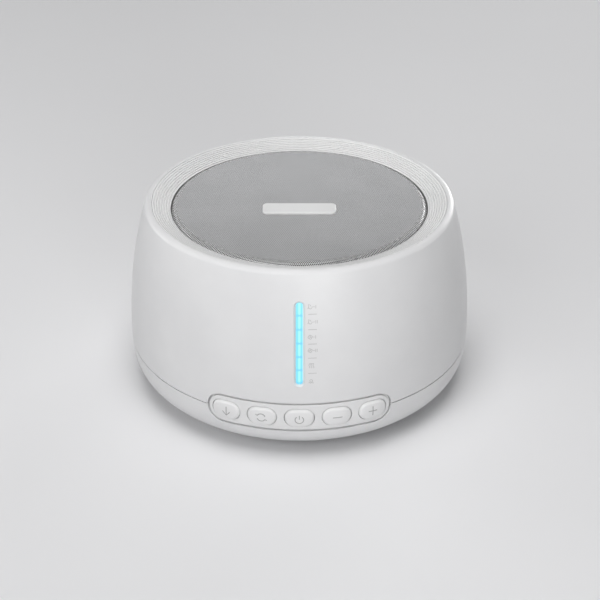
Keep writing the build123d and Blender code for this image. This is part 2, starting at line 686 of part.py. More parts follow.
def case_screws():
    """The four screws that close the case from below."""
    return union(
        screw(CASE_CORE_RADIUS, CASE_HEAD_RADIUS, CASE_HEAD_HEIGHT, case_screw_length(),
              *place(angle, COLUMN_PITCH_RADIUS), CASE_HEAD_SEAT)
        for angle in CASE_SCREW_ANGLES
    )


# ---- Top: grooved ring, grille and name plate ----
def ring_screw_radius():
    """Where the ring's screws stand: the middle of its solid outer part."""
    return RING_OUTER_RADIUS - RING_BOSS_RADIUS


def ring_slope_height(radius):
    """The height of the ring's sloping face at a radius."""
    outer = BODY_HEIGHT - RING_OUTER_DROP
    inner = BODY_HEIGHT - RING_INNER_DROP
    share = (RING_OUTER_RADIUS - radius) / RING_WIDTH
    return outer + (inner - outer) * share


def grooved_ring():
    """The sloping ring with fine grooves that holds the grille's flange down."""
    hem_inner = GRILLE_RADIUS + GRILLE_FLANGE + RING_GAP
    body = turned_outline(
        (RING_INNER_RADIUS, ring_slope_height(RING_INNER_RADIUS)),
        (RING_OUTER_RADIUS, ring_slope_height(RING_OUTER_RADIUS)),
        (RING_OUTER_RADIUS, DECK_TOP),
        (hem_inner, DECK_TOP),
        (hem_inner, GRILLE_FLANGE_TOP),
        (RING_INNER_RADIUS, GRILLE_FLANGE_TOP),
    )
    core_outer = RING_OUTER_RADIUS - RING_INNER_HEM
    core_inner = core_outer - RING_CORE_WIDTH
    core = ring(core_inner, core_outer, DECK_TOP, ring_slope_height(core_inner) - RING_SKIN)
    boss = disc(RING_BOSS_RADIUS, DECK_TOP, BODY_HEIGHT, 0, -ring_screw_radius())
    body -= core - [turn(angle) * boss for angle in RING_SCREW_ANGLES]
    for i in range(GROOVE_COUNT):
        radius = RING_OUTER_RADIUS - GROOVE_MARGIN - i * GROOVE_PITCH
        groove = Pos(radius, 0, ring_slope_height(radius)) * Rot(90, 0, 0) * Circle(GROOVE_RADIUS)
        body -= revolve(groove, Axis.Z)
    pilot = SMALL_CORE_RADIUS + SCREW_GAP
    for angle in RING_SCREW_ANGLES:
        x, y = place(angle, ring_screw_radius())
        body -= disc(pilot, DECK_TOP, DECK_TOP + RING_SCREW_GRIP + SCREW_GAP, x, y)
    return body


def speaker_grille():
    """The mesh sheet: flat on top, rolled down at its edge into a skirt with a flange."""
    roll_centre = Vector(GRILLE_RADIUS - GRILLE_ROLL, GRILLE_TOP - GRILLE_ROLL)
    flat_edge = Vector(roll_centre.X, GRILLE_TOP)
    flat_edge_under = Vector(roll_centre.X, GRILLE_TOP - GRILLE_SHEET)
    skirt = Vector(GRILLE_RADIUS, roll_centre.Y)
    skirt_inner = Vector(GRILLE_RADIUS - GRILLE_SHEET, roll_centre.Y)
    flange_end = GRILLE_RADIUS + GRILLE_FLANGE
    sheet = turned(
        Line((0, GRILLE_TOP), flat_edge),
        arc_about(roll_centre, flat_edge, skirt),
        Line(skirt, (GRILLE_RADIUS, GRILLE_FLANGE_TOP)),
        Line((GRILLE_RADIUS, GRILLE_FLANGE_TOP), (flange_end, GRILLE_FLANGE_TOP)),
        Line((flange_end, GRILLE_FLANGE_TOP), (flange_end, DECK_TOP)),
        Line((flange_end, DECK_TOP), (skirt_inner.X, DECK_TOP)),
        Line((skirt_inner.X, DECK_TOP), skirt_inner),
        arc_about(roll_centre, skirt_inner, flat_edge_under),
        Line(flat_edge_under, (0, GRILLE_TOP - GRILLE_SHEET)),
        Line((0, GRILLE_TOP - GRILLE_SHEET), (0, GRILLE_TOP)),
    )
    for side in (-1, 1):
        x = side * BADGE_STUD_SPACING / 2
        sheet -= disc(BADGE_STUD_RADIUS + BADGE_STUD_GAP, DECK_TOP, GRILLE_TOP, x, -BADGE_FORWARD)
    return sheet


def badge_plate():
    """The bare name plate, held by two studs through the mesh."""
    outline = RectangleRounded(BADGE_LENGTH, BADGE_WIDTH, BADGE_CORNER)
    plate = Pos(0, -BADGE_FORWARD, GRILLE_TOP) * extrude(outline, BADGE_THICKNESS)
    plate = fillet(plate.edges().group_by(Axis.Z)[-1], BADGE_EDGE)
    stud_end = GRILLE_TOP - 2 * GRILLE_SHEET
    for side in (-1, 1):
        x = side * BADGE_STUD_SPACING / 2
        plate += disc(BADGE_STUD_RADIUS, stud_end, GRILLE_TOP, x, -BADGE_FORWARD)
    return plate


def ring_screws():
    """Four screws from under the deck that hold the grooved ring and the grille."""
    length = DECK_THICKNESS + RING_SCREW_GRIP
    return union(
        screw(SMALL_CORE_RADIUS, SMALL_HEAD_RADIUS, SMALL_HEAD_HEIGHT, length,
              *place(angle, ring_screw_radius()), DECK_BOTTOM)
        for angle in RING_SCREW_ANGLES
    )


# ---- Key panel, keys and what is behind them ----
def key_panel():
    """The curved plate round the keys, stepped at its rim, with a flange the housings trap."""
    face = panel_form(-PANEL_GROOVE) & shell(PANEL_SINK, PANEL_BACK)
    face = fillet(panel_rim(face, PANEL_SINK, -PANEL_GROOVE), PANEL_ROUND)
    plug = panel_form(-PANEL_GAP) & shell(PANEL_GROOVE_DEPTH, PANEL_BACK)
    flange = panel_form(PANEL_FLANGE_MARGIN) & shell(WALL + PANEL_FLANGE_GAP, PANEL_BACK)
    panel = face + plug + flange
    hole = outward(key_outline(KEY_GAP), KEY_BACK, OUTSIDE, PANEL_HEIGHT)
    for _, angle in key_angles():
        panel -= turn(angle) * hole
    return panel


def key():
    """One key at the front: a domed face, ears that stop it and a stem to its switch."""
    ball = Pos(0, -(KEY_CREST - KEY_CROWN), PANEL_HEIGHT) * Sphere(KEY_CROWN)
    cap = outward(key_outline(), KEY_BACK, OUTSIDE, PANEL_HEIGHT) & ball
    cap = fillet(cap.faces().sort_by(Axis.Y)[0].edges(), KEY_ROUND)
    ears = RectangleRounded(KEY_LENGTH, KEY_WIDTH + 2 * KEY_EAR, KEY_CORNER)
    cap += outward(ears, KEY_BACK, KEY_EAR_FRONT, PANEL_HEIGHT)
    return cap + outward(Circle(KEY_STEM_RADIUS), PLUNGER_FRONT, KEY_BACK, PANEL_HEIGHT)


def switch_plunger():
    """The pin of one tact switch."""
    return outward(Circle(PLUNGER_RADIUS), PLUNGER_FRONT - PLUNGER_LENGTH, PLUNGER_FRONT, PANEL_HEIGHT)


def switch_body():
    """The square case of one tact switch, bored for its plunger."""
    square = RectangleRounded(SWITCH_SIDE, SWITCH_SIDE, SWITCH_EDGE)
    bore_back = PLUNGER_FRONT - PLUNGER_LENGTH - KEY_TRAVEL - PLUNGER_GAP
    case = outward(square, FLEX_FRONT, SWITCH_FRONT, PANEL_HEIGHT)
    return case - outward(Circle(PLUNGER_RADIUS + PLUNGER_GAP), bore_back, SWITCH_FRONT, PANEL_HEIGHT)


def facet_strip(front, thickness, low, high):
    """An upright strip with one flat facet behind each key."""
    count = len(KEY_NAMES)
    corner_stretch = 1 / cos(radians(KEY_PITCH_ANGLE / 2))
    edges = [(i - count / 2) * KEY_PITCH_ANGLE for i in range(count + 1)]
    outer = [place(angle, front * corner_stretch) for angle in edges]
    inner = [place(angle, (front - thickness) * corner_stretch) for angle in reversed(edges)]
    face = make_face(Polyline(*outer, *inner, close=True))
    return Pos(0, 0, low) * extrude(face, high - low)


def key_flex_board():
    """The flexible board under the switches, with its tail to the main board."""
    low = PANEL_HEIGHT - FLEX_WIDTH / 2
    strip = facet_strip(FLEX_FRONT, FLEX_THICKNESS, low, low + FLEX_WIDTH)
    half = FLEX_TAIL_WIDTH / 2
    drop = block((-half, half), (-FLEX_FRONT, -CARRIER_FRONT), (TAIL_HEIGHT, low))
    tail_run = (-CARRIER_FRONT, flex_tail_end())
    tail = block((-half, half), tail_run, (TAIL_HEIGHT, TAIL_HEIGHT + FLEX_THICKNESS))
    return strip + drop + tail


def flex_tail_end():
    """Where the tail ends, half way into its connector."""
    return -BOARD_FRONT + FLEX_CONNECTOR_SETBACK + FLEX_CONNECTOR_DEPTH / 2


def tab_holes():
    """The carrier's screw places."""
    return [place(side * TAB_ANGLE, TAB_SCREW_RADIUS) for side in (-1, 1)]


def carrier_pads():
    """Four pads that reach forward and press the key panel's flange against the housings."""
    rise = (CARRIER_WIDTH - CARRIER_PAD_WIDTH) / 2
    pad = Rectangle(CARRIER_PAD_LENGTH, CARRIER_PAD_WIDTH)
    angle = KEY_PITCH_ANGLE * (len(KEY_NAMES) / 2 - 1)
    blocks = [
        turn(side * angle) * outward(Pos(0, level * rise) * pad, CARRIER_BACK, BODY_RADIUS, PANEL_HEIGHT)
        for side in (-1, 1)
        for level in (-1, 1)
    ]
    return union(blocks) & body_form(PANEL_BACK, DECK_BOTTOM)


def key_carrier():
    """The rigid strip behind the flexible board, with a screwed tab at each end."""
    strip = facet_strip(CARRIER_FRONT, CARRIER_THICKNESS, CARRIER_BOTTOM, CARRIER_BOTTOM + CARRIER_WIDTH)
    half = TAB_LENGTH / 2
    tab = block((-half, half), (-CARRIER_FRONT, -TAB_BACK), (CARRIER_BOTTOM, CARRIER_BOTTOM + TAB_THICKNESS))
    carrier = strip + [turn(side * TAB_ANGLE) * tab for side in (-1, 1)]
    carrier += carrier_pads()
    notch = FLEX_TAIL_WIDTH / 2 + CARRIER_NOTCH_MARGIN
    notch_top = TAIL_HEIGHT + FLEX_THICKNESS + CARRIER_NOTCH_MARGIN
    carrier -= block((-notch, notch), (-BODY_RADIUS, -TAB_BACK), (0, notch_top))
    for x, y in tab_holes():
        carrier -= disc(SMALL_CORE_RADIUS + SCREW_HOLE_GAP, 0, BODY_HEIGHT, x, y)
    return carrier


def carrier_screws():
    """The two screws that hold the carrier's tabs down on their bosses."""
    seat = CARRIER_BOTTOM + TAB_THICKNESS
    return union(
        screw(SMALL_CORE_RADIUS, SMALL_HEAD_RADIUS, SMALL_HEAD_HEIGHT,
              TAB_THICKNESS + SMALL_SCREW_GRIP, x, y, seat, up=False)
        for x, y in tab_holes()
    )


# ---- Light bar ----
def light_board_front():
    """How far the light board's face lies behind the wall's outside."""
    return LENS_BACK + DIVIDER_DEPTH


def light_post_sketch(radius):
    """Two round posts, one on each side of the light bar."""
    half = LIGHT_POST_SPACING / 2
    return Pos(-half, 0) * Circle(radius) + Pos(half, 0) * Circle(radius)


def light_bar_lens():
    """The clear bar in the wall's slot, with a flange behind the wall."""
    plug_sketch = SlotOverall(BAR_LENGTH - 2 * BAR_LENS_GAP, BAR_WIDTH - 2 * BAR_LENS_GAP, 90)
    plug = on_bar(plug_sketch, LENS_BACK, -LENS_BACK) & body_form(BAR_LENS_SINK, DECK_TOP)
    flange_sketch = SlotOverall(
        BAR_LENGTH + 2 * LENS_FLANGE_MARGIN, BAR_WIDTH + 2 * LENS_FLANGE_MARGIN, 90
    )
    flange = on_bar(flange_sketch, LENS_BACK, 0) & body_form(WALL + LENS_FLANGE_GAP, DECK_TOP)
    return plug + flange


def divider_length():
    """The divider's length along the wall: its cells and a rim."""
    return LIGHT_COUNT * LIGHT_PITCH + DIVIDER_RIM


def light_divider():
    """The opaque grid that keeps each light to its own stretch of the lens."""
    grid = on_bar(Rectangle(DIVIDER_WIDTH, divider_length()), light_board_front(), LENS_BACK)
    cell = Rectangle(BAR_WIDTH, LIGHT_PITCH - DIVIDER_WEB)
    for place_along in light_places():
        grid -= on_bar(Pos(0, place_along) * cell, light_board_front(), LENS_BACK)
    return grid


def bar_lights():
    """The six small lights on the light board, one in each cell of the divider."""
    light = Rectangle(LIGHT_WIDTH, LIGHT_LENGTH)
    back = light_board_front()
    return union(on_bar(Pos(0, along) * light, back, back - LIGHT_HEIGHT) for along in light_places())


def light_board():
    """The board behind the bar, screwed to two posts on the wall."""
    top = divider_length() / 2
    length = 2 * top + LIGHT_BOARD_DROP
    outline = Pos(0, top - length / 2) * RectangleRounded(LIGHT_BOARD_WIDTH, length, 1)
    outline -= light_post_sketch(SMALL_CORE_RADIUS + SCREW_HOLE_GAP)
    return on_bar(outline, light_board_front() + LIGHT_BOARD_THICKNESS, light_board_front())


def light_board_screws():
    """The two screws that hold the light board to its posts."""
    back = light_board_front() + LIGHT_BOARD_THICKNESS
    length = LIGHT_BOARD_THICKNESS + SMALL_SCREW_GRIP
    pair = union(
        screw(SMALL_CORE_RADIUS, SMALL_HEAD_RADIUS, SMALL_HEAD_HEIGHT, length,
              side * LIGHT_POST_SPACING / 2, 0, 0)
        for side in (-1, 1)
    )
    return bar_frame().offset(-back).location * pair


# ---- Loudspeaker ----
def ear_places():
    """The places of the speaker frame's four screw ears."""
    return [place(angle, FRAME_EAR_PITCH_RADIUS) for angle in FRAME_EAR_ANGLES]


def speaker_frame():
    """The pressed basket: flange with ears, windowed cone wall, floor and spider shelf."""
    mouth = SURROUND_LIP_INNER - SURROUND_SHEET
    basket = turned_outline(
        (FRAME_FLANGE_RADIUS, FRAME_TOP),
        (FRAME_FLANGE_RADIUS, FRAME_UNDERSIDE),
        (mouth + FRAME_SHEET, FRAME_UNDERSIDE),
        (FRAME_FOOT_RADIUS, FRAME_FOOT),
        (FRAME_FLOOR_BORE, FRAME_FOOT),
        (FRAME_FLOOR_BORE, FRAME_FOOT + FRAME_SHEET),
        (FRAME_FOOT_RADIUS - FRAME_SHEET, FRAME_FOOT + FRAME_SHEET),
        (mouth, FRAME_UNDERSIDE),
        (mouth, FRAME_TOP),
    )
    shelf_outer = FRAME_FOOT_RADIUS - FRAME_SHEET / 2
    frame = basket + ring(shelf_outer - SPIDER_SHELF_WIDTH, shelf_outer, FRAME_FOOT, SPIDER_BASE)
    half = FRAME_WINDOW / 2
    low = SPIDER_BASE + FRAME_SHEET
    high = FRAME_UNDERSIDE - FRAME_SHEET
    across = (-FRAME_FLANGE_RADIUS, FRAME_FLANGE_RADIUS)
    frame -= block((-half, half), across, (low, high))
    frame -= block(across, (-half, half), (low, high))
    frame += [disc(FRAME_EAR_RADIUS, FRAME_UNDERSIDE, FRAME_TOP, x, y) for x, y in ear_places()]
    frame -= disc(mouth, FRAME_UNDERSIDE, FRAME_TOP)
    for x, y in ear_places():
        frame -= disc(SPEAKER_SCREW_CORE + SCREW_HOLE_GAP, FRAME_UNDERSIDE, FRAME_TOP, x, y)
    half_tab = TERMINAL_WIDTH / 2
    tab_top = FRAME_FOOT + TERMINAL_TAB_THICKNESS
    tab_root = shelf_outer - FRAME_SHEET
    return frame + block((-half_tab, half_tab), (tab_root, TERMINAL_OUT), (FRAME_FOOT, tab_top))


def speaker_gasket():
    """The foam ring between the speaker and the deck."""
    inner = SPEAKER_OPENING + GASKET_SETBACK
    return ring(inner, SEAT_OUTER, SURROUND_BASE + SURROUND_SHEET, DECK_BOTTOM)


def speaker_surround():
    """The soft half roll between the cone's edge and the frame."""
    middle = SURROUND_LIP_INNER - SURROUND_ROLL
    top = SURROUND_BASE + SURROUND_SHEET
    inner_roll = SURROUND_ROLL - SURROUND_SHEET
    return turned(
        Line((SEAT_OUTER, top), (SURROUND_LIP_INNER, top)),
        CenterArc((middle, top), SURROUND_ROLL, 0, 180),
        Line((CONE_LIP_OUTER, top), (CONE_LIP_INNER, top)),
        Line((CONE_LIP_INNER, top), (CONE_LIP_INNER, SURROUND_BASE)),
        Line((CONE_LIP_INNER, SURROUND_BASE), (middle - inner_roll, SURROUND_BASE)),
        Line((middle - inner_roll, SURROUND_BASE), (middle - inner_roll, top)),
        CenterArc((middle, top), inner_roll, 0, 180),
        Line((middle + inner_roll, top), (middle + inner_roll, SURROUND_BASE)),
        Line((middle + inner_roll, SURROUND_BASE), (SEAT_OUTER, SURROUND_BASE)),
        Line((SEAT_OUTER, SURROUND_BASE), (SEAT_OUTER, top)),
    )


def speaker_cone():
    """The paper cone with the flat lip that the surround is glued to."""
    return turned_outline(
        (CONE_LIP_OUTER, SURROUND_BASE),
        (CONE_LIP_INNER, SURROUND_BASE),
        (CONE_NECK, CONE_BOTTOM + CONE_SHEET),
        (CONE_NECK, CONE_BOTTOM),
        (CONE_LIP_INNER, CONE_TOP),
        (CONE_LIP_OUTER, CONE_TOP),
    )


def dust_cap():
    """The dome glued over the middle of the cone."""
    slope = CONE_DEPTH / (CONE_LIP_INNER - CONE_NECK)
    rim = CONE_BOTTOM + CONE_SHEET + (DUST_CAP_RADIUS - CONE_NECK) * slope + GLUE_GAP
    crown = rim + DUST_CAP_RISE
    dome = (DUST_CAP_RADIUS ** 2 + DUST_CAP_RISE ** 2) / (2 * DUST_CAP_RISE)
    outer = Pos(0, 0, crown - dome) * Sphere(dome)
    inner = Pos(0, 0, crown - dome) * Sphere(dome - CONE_SHEET)
    return (outer - inner) & disc(DUST_CAP_RADIUS, rim, crown)


def voice_coil():
    """The thin former with its winding, centred on the top plate."""
    winding_low = TOP_PLATE_BOTTOM - (COIL_WINDING_LENGTH - TOP_PLATE_THICKNESS) / 2
    former = ring(COIL_RADIUS, COIL_RADIUS + COIL_FORMER, winding_low, CONE_BOTTOM + 2 * CONE_SHEET)
    winding_outer = COIL_RADIUS + COIL_FORMER + COIL_WINDING
    return former + ring(COIL_RADIUS, winding_outer, winding_low, winding_low + COIL_WINDING_LENGTH)


def speaker_spider():
    """The folded disc that centres the voice coil on the frame's shelf."""
    inner = CONE_NECK
    outer = FRAME_FOOT_RADIUS - FRAME_SHEET
    folds_start = inner + SPIDER_LIP
    step = (outer - SPIDER_LIP - folds_start) / (2 * SPIDER_FOLDS)
    under = [(inner, SPIDER_BASE)]
    for i in range(2 * SPIDER_FOLDS + 1):
        under.append((folds_start + i * step, SPIDER_BASE + SPIDER_CORRUGATION * (i % 2)))
    under.append((outer, SPIDER_BASE))
    over = [(radius, height + SPIDER_SHEET) for radius, height in reversed(under)]
    return turned_outline(*under, *over)


def speaker_top_plate():
    """The steel plate on the magnet, bored for the voice coil."""
    bore = COIL_RADIUS + COIL_FORMER + COIL_WINDING + COIL_GAP
    return ring(bore, TOP_PLATE_RADIUS, TOP_PLATE_BOTTOM, FRAME_FOOT)


def speaker_magnet():
    """The ring magnet."""
    return ring(MAGNET_BORE, MAGNET_RADIUS, MAGNET_BOTTOM, TOP_PLATE_BOTTOM)


def speaker_yoke():
    """The steel back plate with the pole that the voice coil moves round."""
    plate = disc(YOKE_RADIUS, MAGNET_BOTTOM - YOKE_THICKNESS, MAGNET_BOTTOM)
    return plate + disc(COIL_RADIUS - COIL_GAP, MAGNET_BOTTOM, FRAME_FOOT)


def speaker_screws():
    """Four screws through the frame's ears into the deck's bosses."""
    length = DECK_TOP + SPEAKER_BOSS_RISE - SCREW_HOLE_GAP - FRAME_UNDERSIDE
    return union(
        screw(SPEAKER_SCREW_CORE, SPEAKER_SCREW_HEAD, SPEAKER_SCREW_HEAD_HEIGHT, length, x, y,
              FRAME_UNDERSIDE)
        for x, y in ear_places()
    )


def terminal_board():
    """The small board on the frame's tab that the speaker lead is soldered to."""
    half = TERMINAL_WIDTH / 2
    low = FRAME_FOOT + TERMINAL_TAB_THICKNESS
    depth = (TERMINAL_OUT - TERMINAL_DEPTH, TERMINAL_OUT)
    return block((-half, half), depth, (low, low + TERMINAL_THICKNESS))


# ---- Main board, its parts and the power inlet ----
def board_holes():
    """The main board's four screw places."""
    return [(x, y) for x in (-BOARD_HOLE_X, BOARD_HOLE_X) for y in (-BOARD_HOLE_Y, BOARD_HOLE_Y)]


def main_board():
    """The main circuit board, with a tongue that carries the power inlet."""
    depth = BOARD_FRONT + BOARD_BACK
    outline = Pos(0, BOARD_BACK - depth / 2) * RectangleRounded(BOARD_LENGTH, depth, BOARD_CORNER)
    tongue_depth = BOARD_END - BOARD_BACK + BOARD_CORNER
    outline += Pos(0, BOARD_END - tongue_depth / 2) * Rectangle(BOARD_TONGUE, tongue_depth)
    board = Pos(0, 0, BOARD_UNDERSIDE) * extrude(outline, BOARD_THICKNESS)
    for x, y in board_holes():
        board -= disc(SMALL_CORE_RADIUS + SCREW_HOLE_GAP, BOARD_UNDERSIDE, BOARD_TOP, x, y)
    return board


def board_screws():
    """Four screws that hold the main board on its posts."""
    length = BOARD_THICKNESS + BOARD_UNDERSIDE - WALL - SCREW_TIP_ROOM
    return union(
        screw(SMALL_CORE_RADIUS, SMALL_HEAD_RADIUS, SMALL_HEAD_HEIGHT, length, x, y, BOARD_TOP, up=False)
        for x, y in board_holes()
    )


def on_board(length, width, height, x, y):
    """A moulded part standing on the main board."""
    return Pos(x, y, BOARD_TOP) * extrude(Rectangle(length, width), height)


def capacitors():
    """Two upright can capacitors on the main board."""
    return union(disc(radius, BOARD_TOP, BOARD_TOP + height, x, y) for radius, height, x, y in CAPACITORS)


def chokes():
    """Two moulded chokes on the main board."""
    return union(on_board(*CHOKE, BOARD_LENGTH / 2 - CHOKE_INSET, y) for y in CHOKE_PLACES)


def flex_connector():
    """The connector that grips the flexible board's tail."""
    front = -BOARD_FRONT + FLEX_CONNECTOR_SETBACK
    half = FLEX_CONNECTOR_LENGTH / 2
    top = BOARD_TOP + FLEX_CONNECTOR_HEIGHT
    case = block((-half, half), (front, front + FLEX_CONNECTOR_DEPTH), (BOARD_TOP, top))
    slot = FLEX_TAIL_WIDTH / 2 + CONTACT_GAP
    slot_low = TAIL_HEIGHT - CONTACT_GAP
    slot_high = TAIL_HEIGHT + FLEX_THICKNESS + CONTACT_GAP
    return case - block((-slot, slot), (front, flex_tail_end() + CONTACT_GAP), (slot_low, slot_high))


def power_inlet_shell():
    """The inlet's metal tube, its mouth level with the pocket's floor."""
    tube = inlet_sketch() - inlet_sketch(-INLET_SHEET)
    return rearward(tube, POCKET_FLOOR - INLET_DEPTH, POCKET_FLOOR, INLET_AXIS_HEIGHT)


def power_inlet_core():
    """The inlet's moulded base with the contact tongue."""
    back = POCKET_FLOOR - INLET_DEPTH
    base = rearward(inlet_sketch(-INLET_SHEET - CONTACT_GAP), back, back + INLET_BASE, INLET_AXIS_HEIGHT)
    blade = Rectangle(INLET_TONGUE_WIDTH, INLET_TONGUE_THICKNESS)
    tip = POCKET_FLOOR - INLET_TONGUE_SETBACK
    return base + rearward(blade, back + INLET_BASE / 2, tip, INLET_AXIS_HEIGHT)


# ---- Leads inside the case ----
def lead(radius, *points):
    """A round lead along straight runs joined by arcs as large as the runs allow."""
    points = [Vector(*point) for point in points]
    runs = [after - before for before, after in zip(points, points[1:])]
    bends = []
    for run, following in zip(runs, runs[1:]):
        half_turn = radians(run.get_angle(following)) / 2
        bends.append(LEAD_BEND_SHARE * min(run.length, following.length) / tan(half_turn))
    path = FilletPolyline(*points, radius=bends)
    print("lead length", round(path.length, 1), "bends", [round(bend, 1) for bend in bends])
    return sweep(Plane(origin=path @ 0, z_dir=path % 0) * Circle(radius), path)


def light_lead():
    """From the light board's lower end, over the carrier, down to its socket."""
    back = light_board_front() + LIGHT_BOARD_THICKNESS
    foot = -divider_length() / 2 - LIGHT_BOARD_DROP / 2
    start = bar_frame().from_local_coords(Vector(0, foot, -back))
    _, _, height, x, y = LIGHT_SOCKET
    top = BOARD_TOP + height
    return lead(
        LIGHT_LEAD_RADIUS,
        start,
        start + LIGHT_LEAD_FIRST_RUN,
        *LIGHT_LEAD_POINTS,
        (x, y, top + LIGHT_LEAD_DROP),
        (x, y, top),
    )


def speaker_lead():
    """From the speaker's terminals, out past the magnet, down to its socket."""
    terminal_top = FRAME_FOOT + TERMINAL_TAB_THICKNESS + TERMINAL_THICKNESS
    start = Vector(0, TERMINAL_OUT - TERMINAL_DEPTH / 4, terminal_top)
    _, _, height, x, y = SPEAKER_SOCKET
    top = BOARD_TOP + height
    return lead(
        SPEAKER_LEAD_RADIUS,
        start,
        start + Vector(0, 0, SPEAKER_LEAD_RISE),
        *[(across, back, FRAME_FOOT + rise) for across, back, rise in SPEAKER_LEAD_POINTS],
        (x, y, top + SPEAKER_LEAD_DROP),
        (x, y, top),
    )


def all_pieces():
    """Every piece by the name of its node."""
    pieces = {
        "upper_housing": upper_housing(),
        "lower_housing": lower_housing(),
        "grooved_ring": grooved_ring(),
        "speaker_grille": speaker_grille(),
        "badge_plate": badge_plate(),
        "ring_screws": ring_screws(),
        "case_screws": case_screws(),
        "rubber_feet": rubber_feet(),
        "key_panel": key_panel(),
        "key_flex_board": key_flex_board(),
        "key_carrier": key_carrier(),
        "carrier_screws": carrier_screws(),
        "light_bar_lens": light_bar_lens(),
        "light_divider": light_divider(),
        "bar_lights": bar_lights(),
        "light_board": light_board(),
        "light_board_screws": light_board_screws(),
        "speaker_frame": speaker_frame(),
        "speaker_gasket": speaker_gasket(),
        "speaker_surround": speaker_surround(),
        "speaker_cone": speaker_cone(),
        "dust_cap": dust_cap(),
        "voice_coil": voice_coil(),
        "speaker_spider": speaker_spider(),
        "speaker_top_plate": speaker_top_plate(),
        "speaker_magnet": speaker_magnet(),
        "speaker_yoke": speaker_yoke(),
        "speaker_screws": speaker_screws(),
        "terminal_board": terminal_board(),
        "main_board": main_board(),
        "board_screws": board_screws(),
        "control_chip": on_board(*CONTROL_CHIP),
        "memory_chip": on_board(*MEMORY_CHIP),
        "amplifier_chip": on_board(*AMPLIFIER_CHIP),
        "light_socket": on_board(*LIGHT_SOCKET),
        "speaker_socket": on_board(*SPEAKER_SOCKET),
        "chokes": chokes(),
        "capacitors": capacitors(),
        "flex_connector": flex_connector(),
        "power_inlet_shell": power_inlet_shell(),
        "power_inlet_core": power_inlet_core(),
        "light_lead": light_lead(),
        "speaker_lead": speaker_lead(),
    }
    for name, angle in key_angles():
        pieces[f"key_{name}"] = turn(angle) * key()
        pieces[f"switch_body_{name}"] = turn(angle) * switch_body()
        pieces[f"switch_plunger_{name}"] = turn(angle) * switch_plunger()
    return pieces


def main():
    """Write each piece, lifted on its feet, to its own STEP file."""
    os.makedirs("parts", exist_ok=True)
    for name, piece in all_pieces().items():
        export_step(Pos(0, 0, FOOT_HEIGHT) * piece, f"parts/{name}.step")


main()
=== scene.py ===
import math

import bmesh
import bpy
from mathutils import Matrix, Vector


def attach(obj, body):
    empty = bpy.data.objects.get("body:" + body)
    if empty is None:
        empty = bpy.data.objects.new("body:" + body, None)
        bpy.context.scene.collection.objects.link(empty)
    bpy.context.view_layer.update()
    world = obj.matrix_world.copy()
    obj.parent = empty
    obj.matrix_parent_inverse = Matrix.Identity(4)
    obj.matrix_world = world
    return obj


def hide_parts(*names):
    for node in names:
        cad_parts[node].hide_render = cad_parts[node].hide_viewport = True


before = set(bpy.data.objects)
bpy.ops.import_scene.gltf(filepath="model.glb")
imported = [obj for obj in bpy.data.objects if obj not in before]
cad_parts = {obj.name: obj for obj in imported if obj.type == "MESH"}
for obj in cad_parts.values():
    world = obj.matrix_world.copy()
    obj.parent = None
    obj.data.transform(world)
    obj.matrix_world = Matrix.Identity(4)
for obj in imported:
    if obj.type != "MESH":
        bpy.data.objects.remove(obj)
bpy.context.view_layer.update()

# White noise sound machine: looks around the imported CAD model. Sizes are in millimetres,
# with heights above the housing's underside, except under "Camera, floor and light".
# new_object turns them to metres and lifts them by the height of the feet.
MM = 0.001

# ---- Sizes repeated from the CAD source ----
FOOT_HEIGHT = 1.2
BODY_RADIUS = 56.0
WIDEST_HEIGHT = 17.0
UPPER_WALL_ARC = 153.0
LOWER_WALL_ARC = 80.0
CORNER_START = 11.0
PANEL_HEIGHT = 14.35
KEY_PITCH = 11.58
KEY_CROWN = 16.0
KEY_RISE = 0.9
BAR_HEIGHT = 39.33
LIGHT_PITCH = 4.4
GRILLE_TOP = 59.65
GRILLE_ROLL = 1.6
GRILLE_FLAT = 39.41
GRILLE_FLANGE_END = 43.01
DECK_TOP = 57.2
SHEET_DEPTH = 0.5
RING_INNER_RADIUS = 41.31
RING_OUTER_RADIUS = 47.21
RING_INNER_TOP = 59.1
RING_OUTER_TOP = 61.35
RING_HEM_RADIUS = 43.11
KEYS = ("timer", "sound", "power", "volume_down", "volume_up")

# ---- Sizes that only the looks have ----
# mesh: a net of holes, wider on the roll, with a dark layer under its skin as painted shade in
# the holes
HOLE_PITCH = 0.607
HOLE_RADIUS = 0.2
ROLL_HOLE_RADIUS = 0.245
SHEET_SPLIT = 30.0
SKIRT_HOLES = 0.1
SHEET_SKIN = 0.1
# ring: seven fine grooves, where the CAD ring has six at 0.85
GROOVE_COUNT = 7
GROOVE_PITCH = 0.77
GROOVE_RADIUS = 0.26
GROOVE_MARGIN = 0.68
GROOVE_STEPS = 10
RING_ROUND = 0.25
RING_ROUND_STEPS = 6
RING_SEGMENTS = 512
RING_CREASE = 35
# light guide: its joints are drawn a little above the middles between the CAD lights
JOINT_LIFT = 0.35
CORE_HALF_WIDTH = 0.5
GUIDE_HALF_WIDTH = 0.94
FLANK_BLEND = 0.1
# painted crevice shade: how near the walls of a gap have to be
CREVICE_SHADE_REACH = 1.0
# prints: how far they stand out of a surface and reach into it, their strokes and places
PRINT_LIFT = 0.035
PRINT_ROOT = 0.03
PRINT_STROKE = 0.17
ICON_STROKE = 0.25
SIGN_START = 2.45
SIGN_HEIGHTS = (51.3, 46.7, 42.0, 37.7, 32.6, 27.5)
RULE_SPAN = (2.62, 5.2)
RULE_HEIGHTS = (49.07, 44.34, 39.78, 35.25, 30.21)
RULE_STEPS = 6

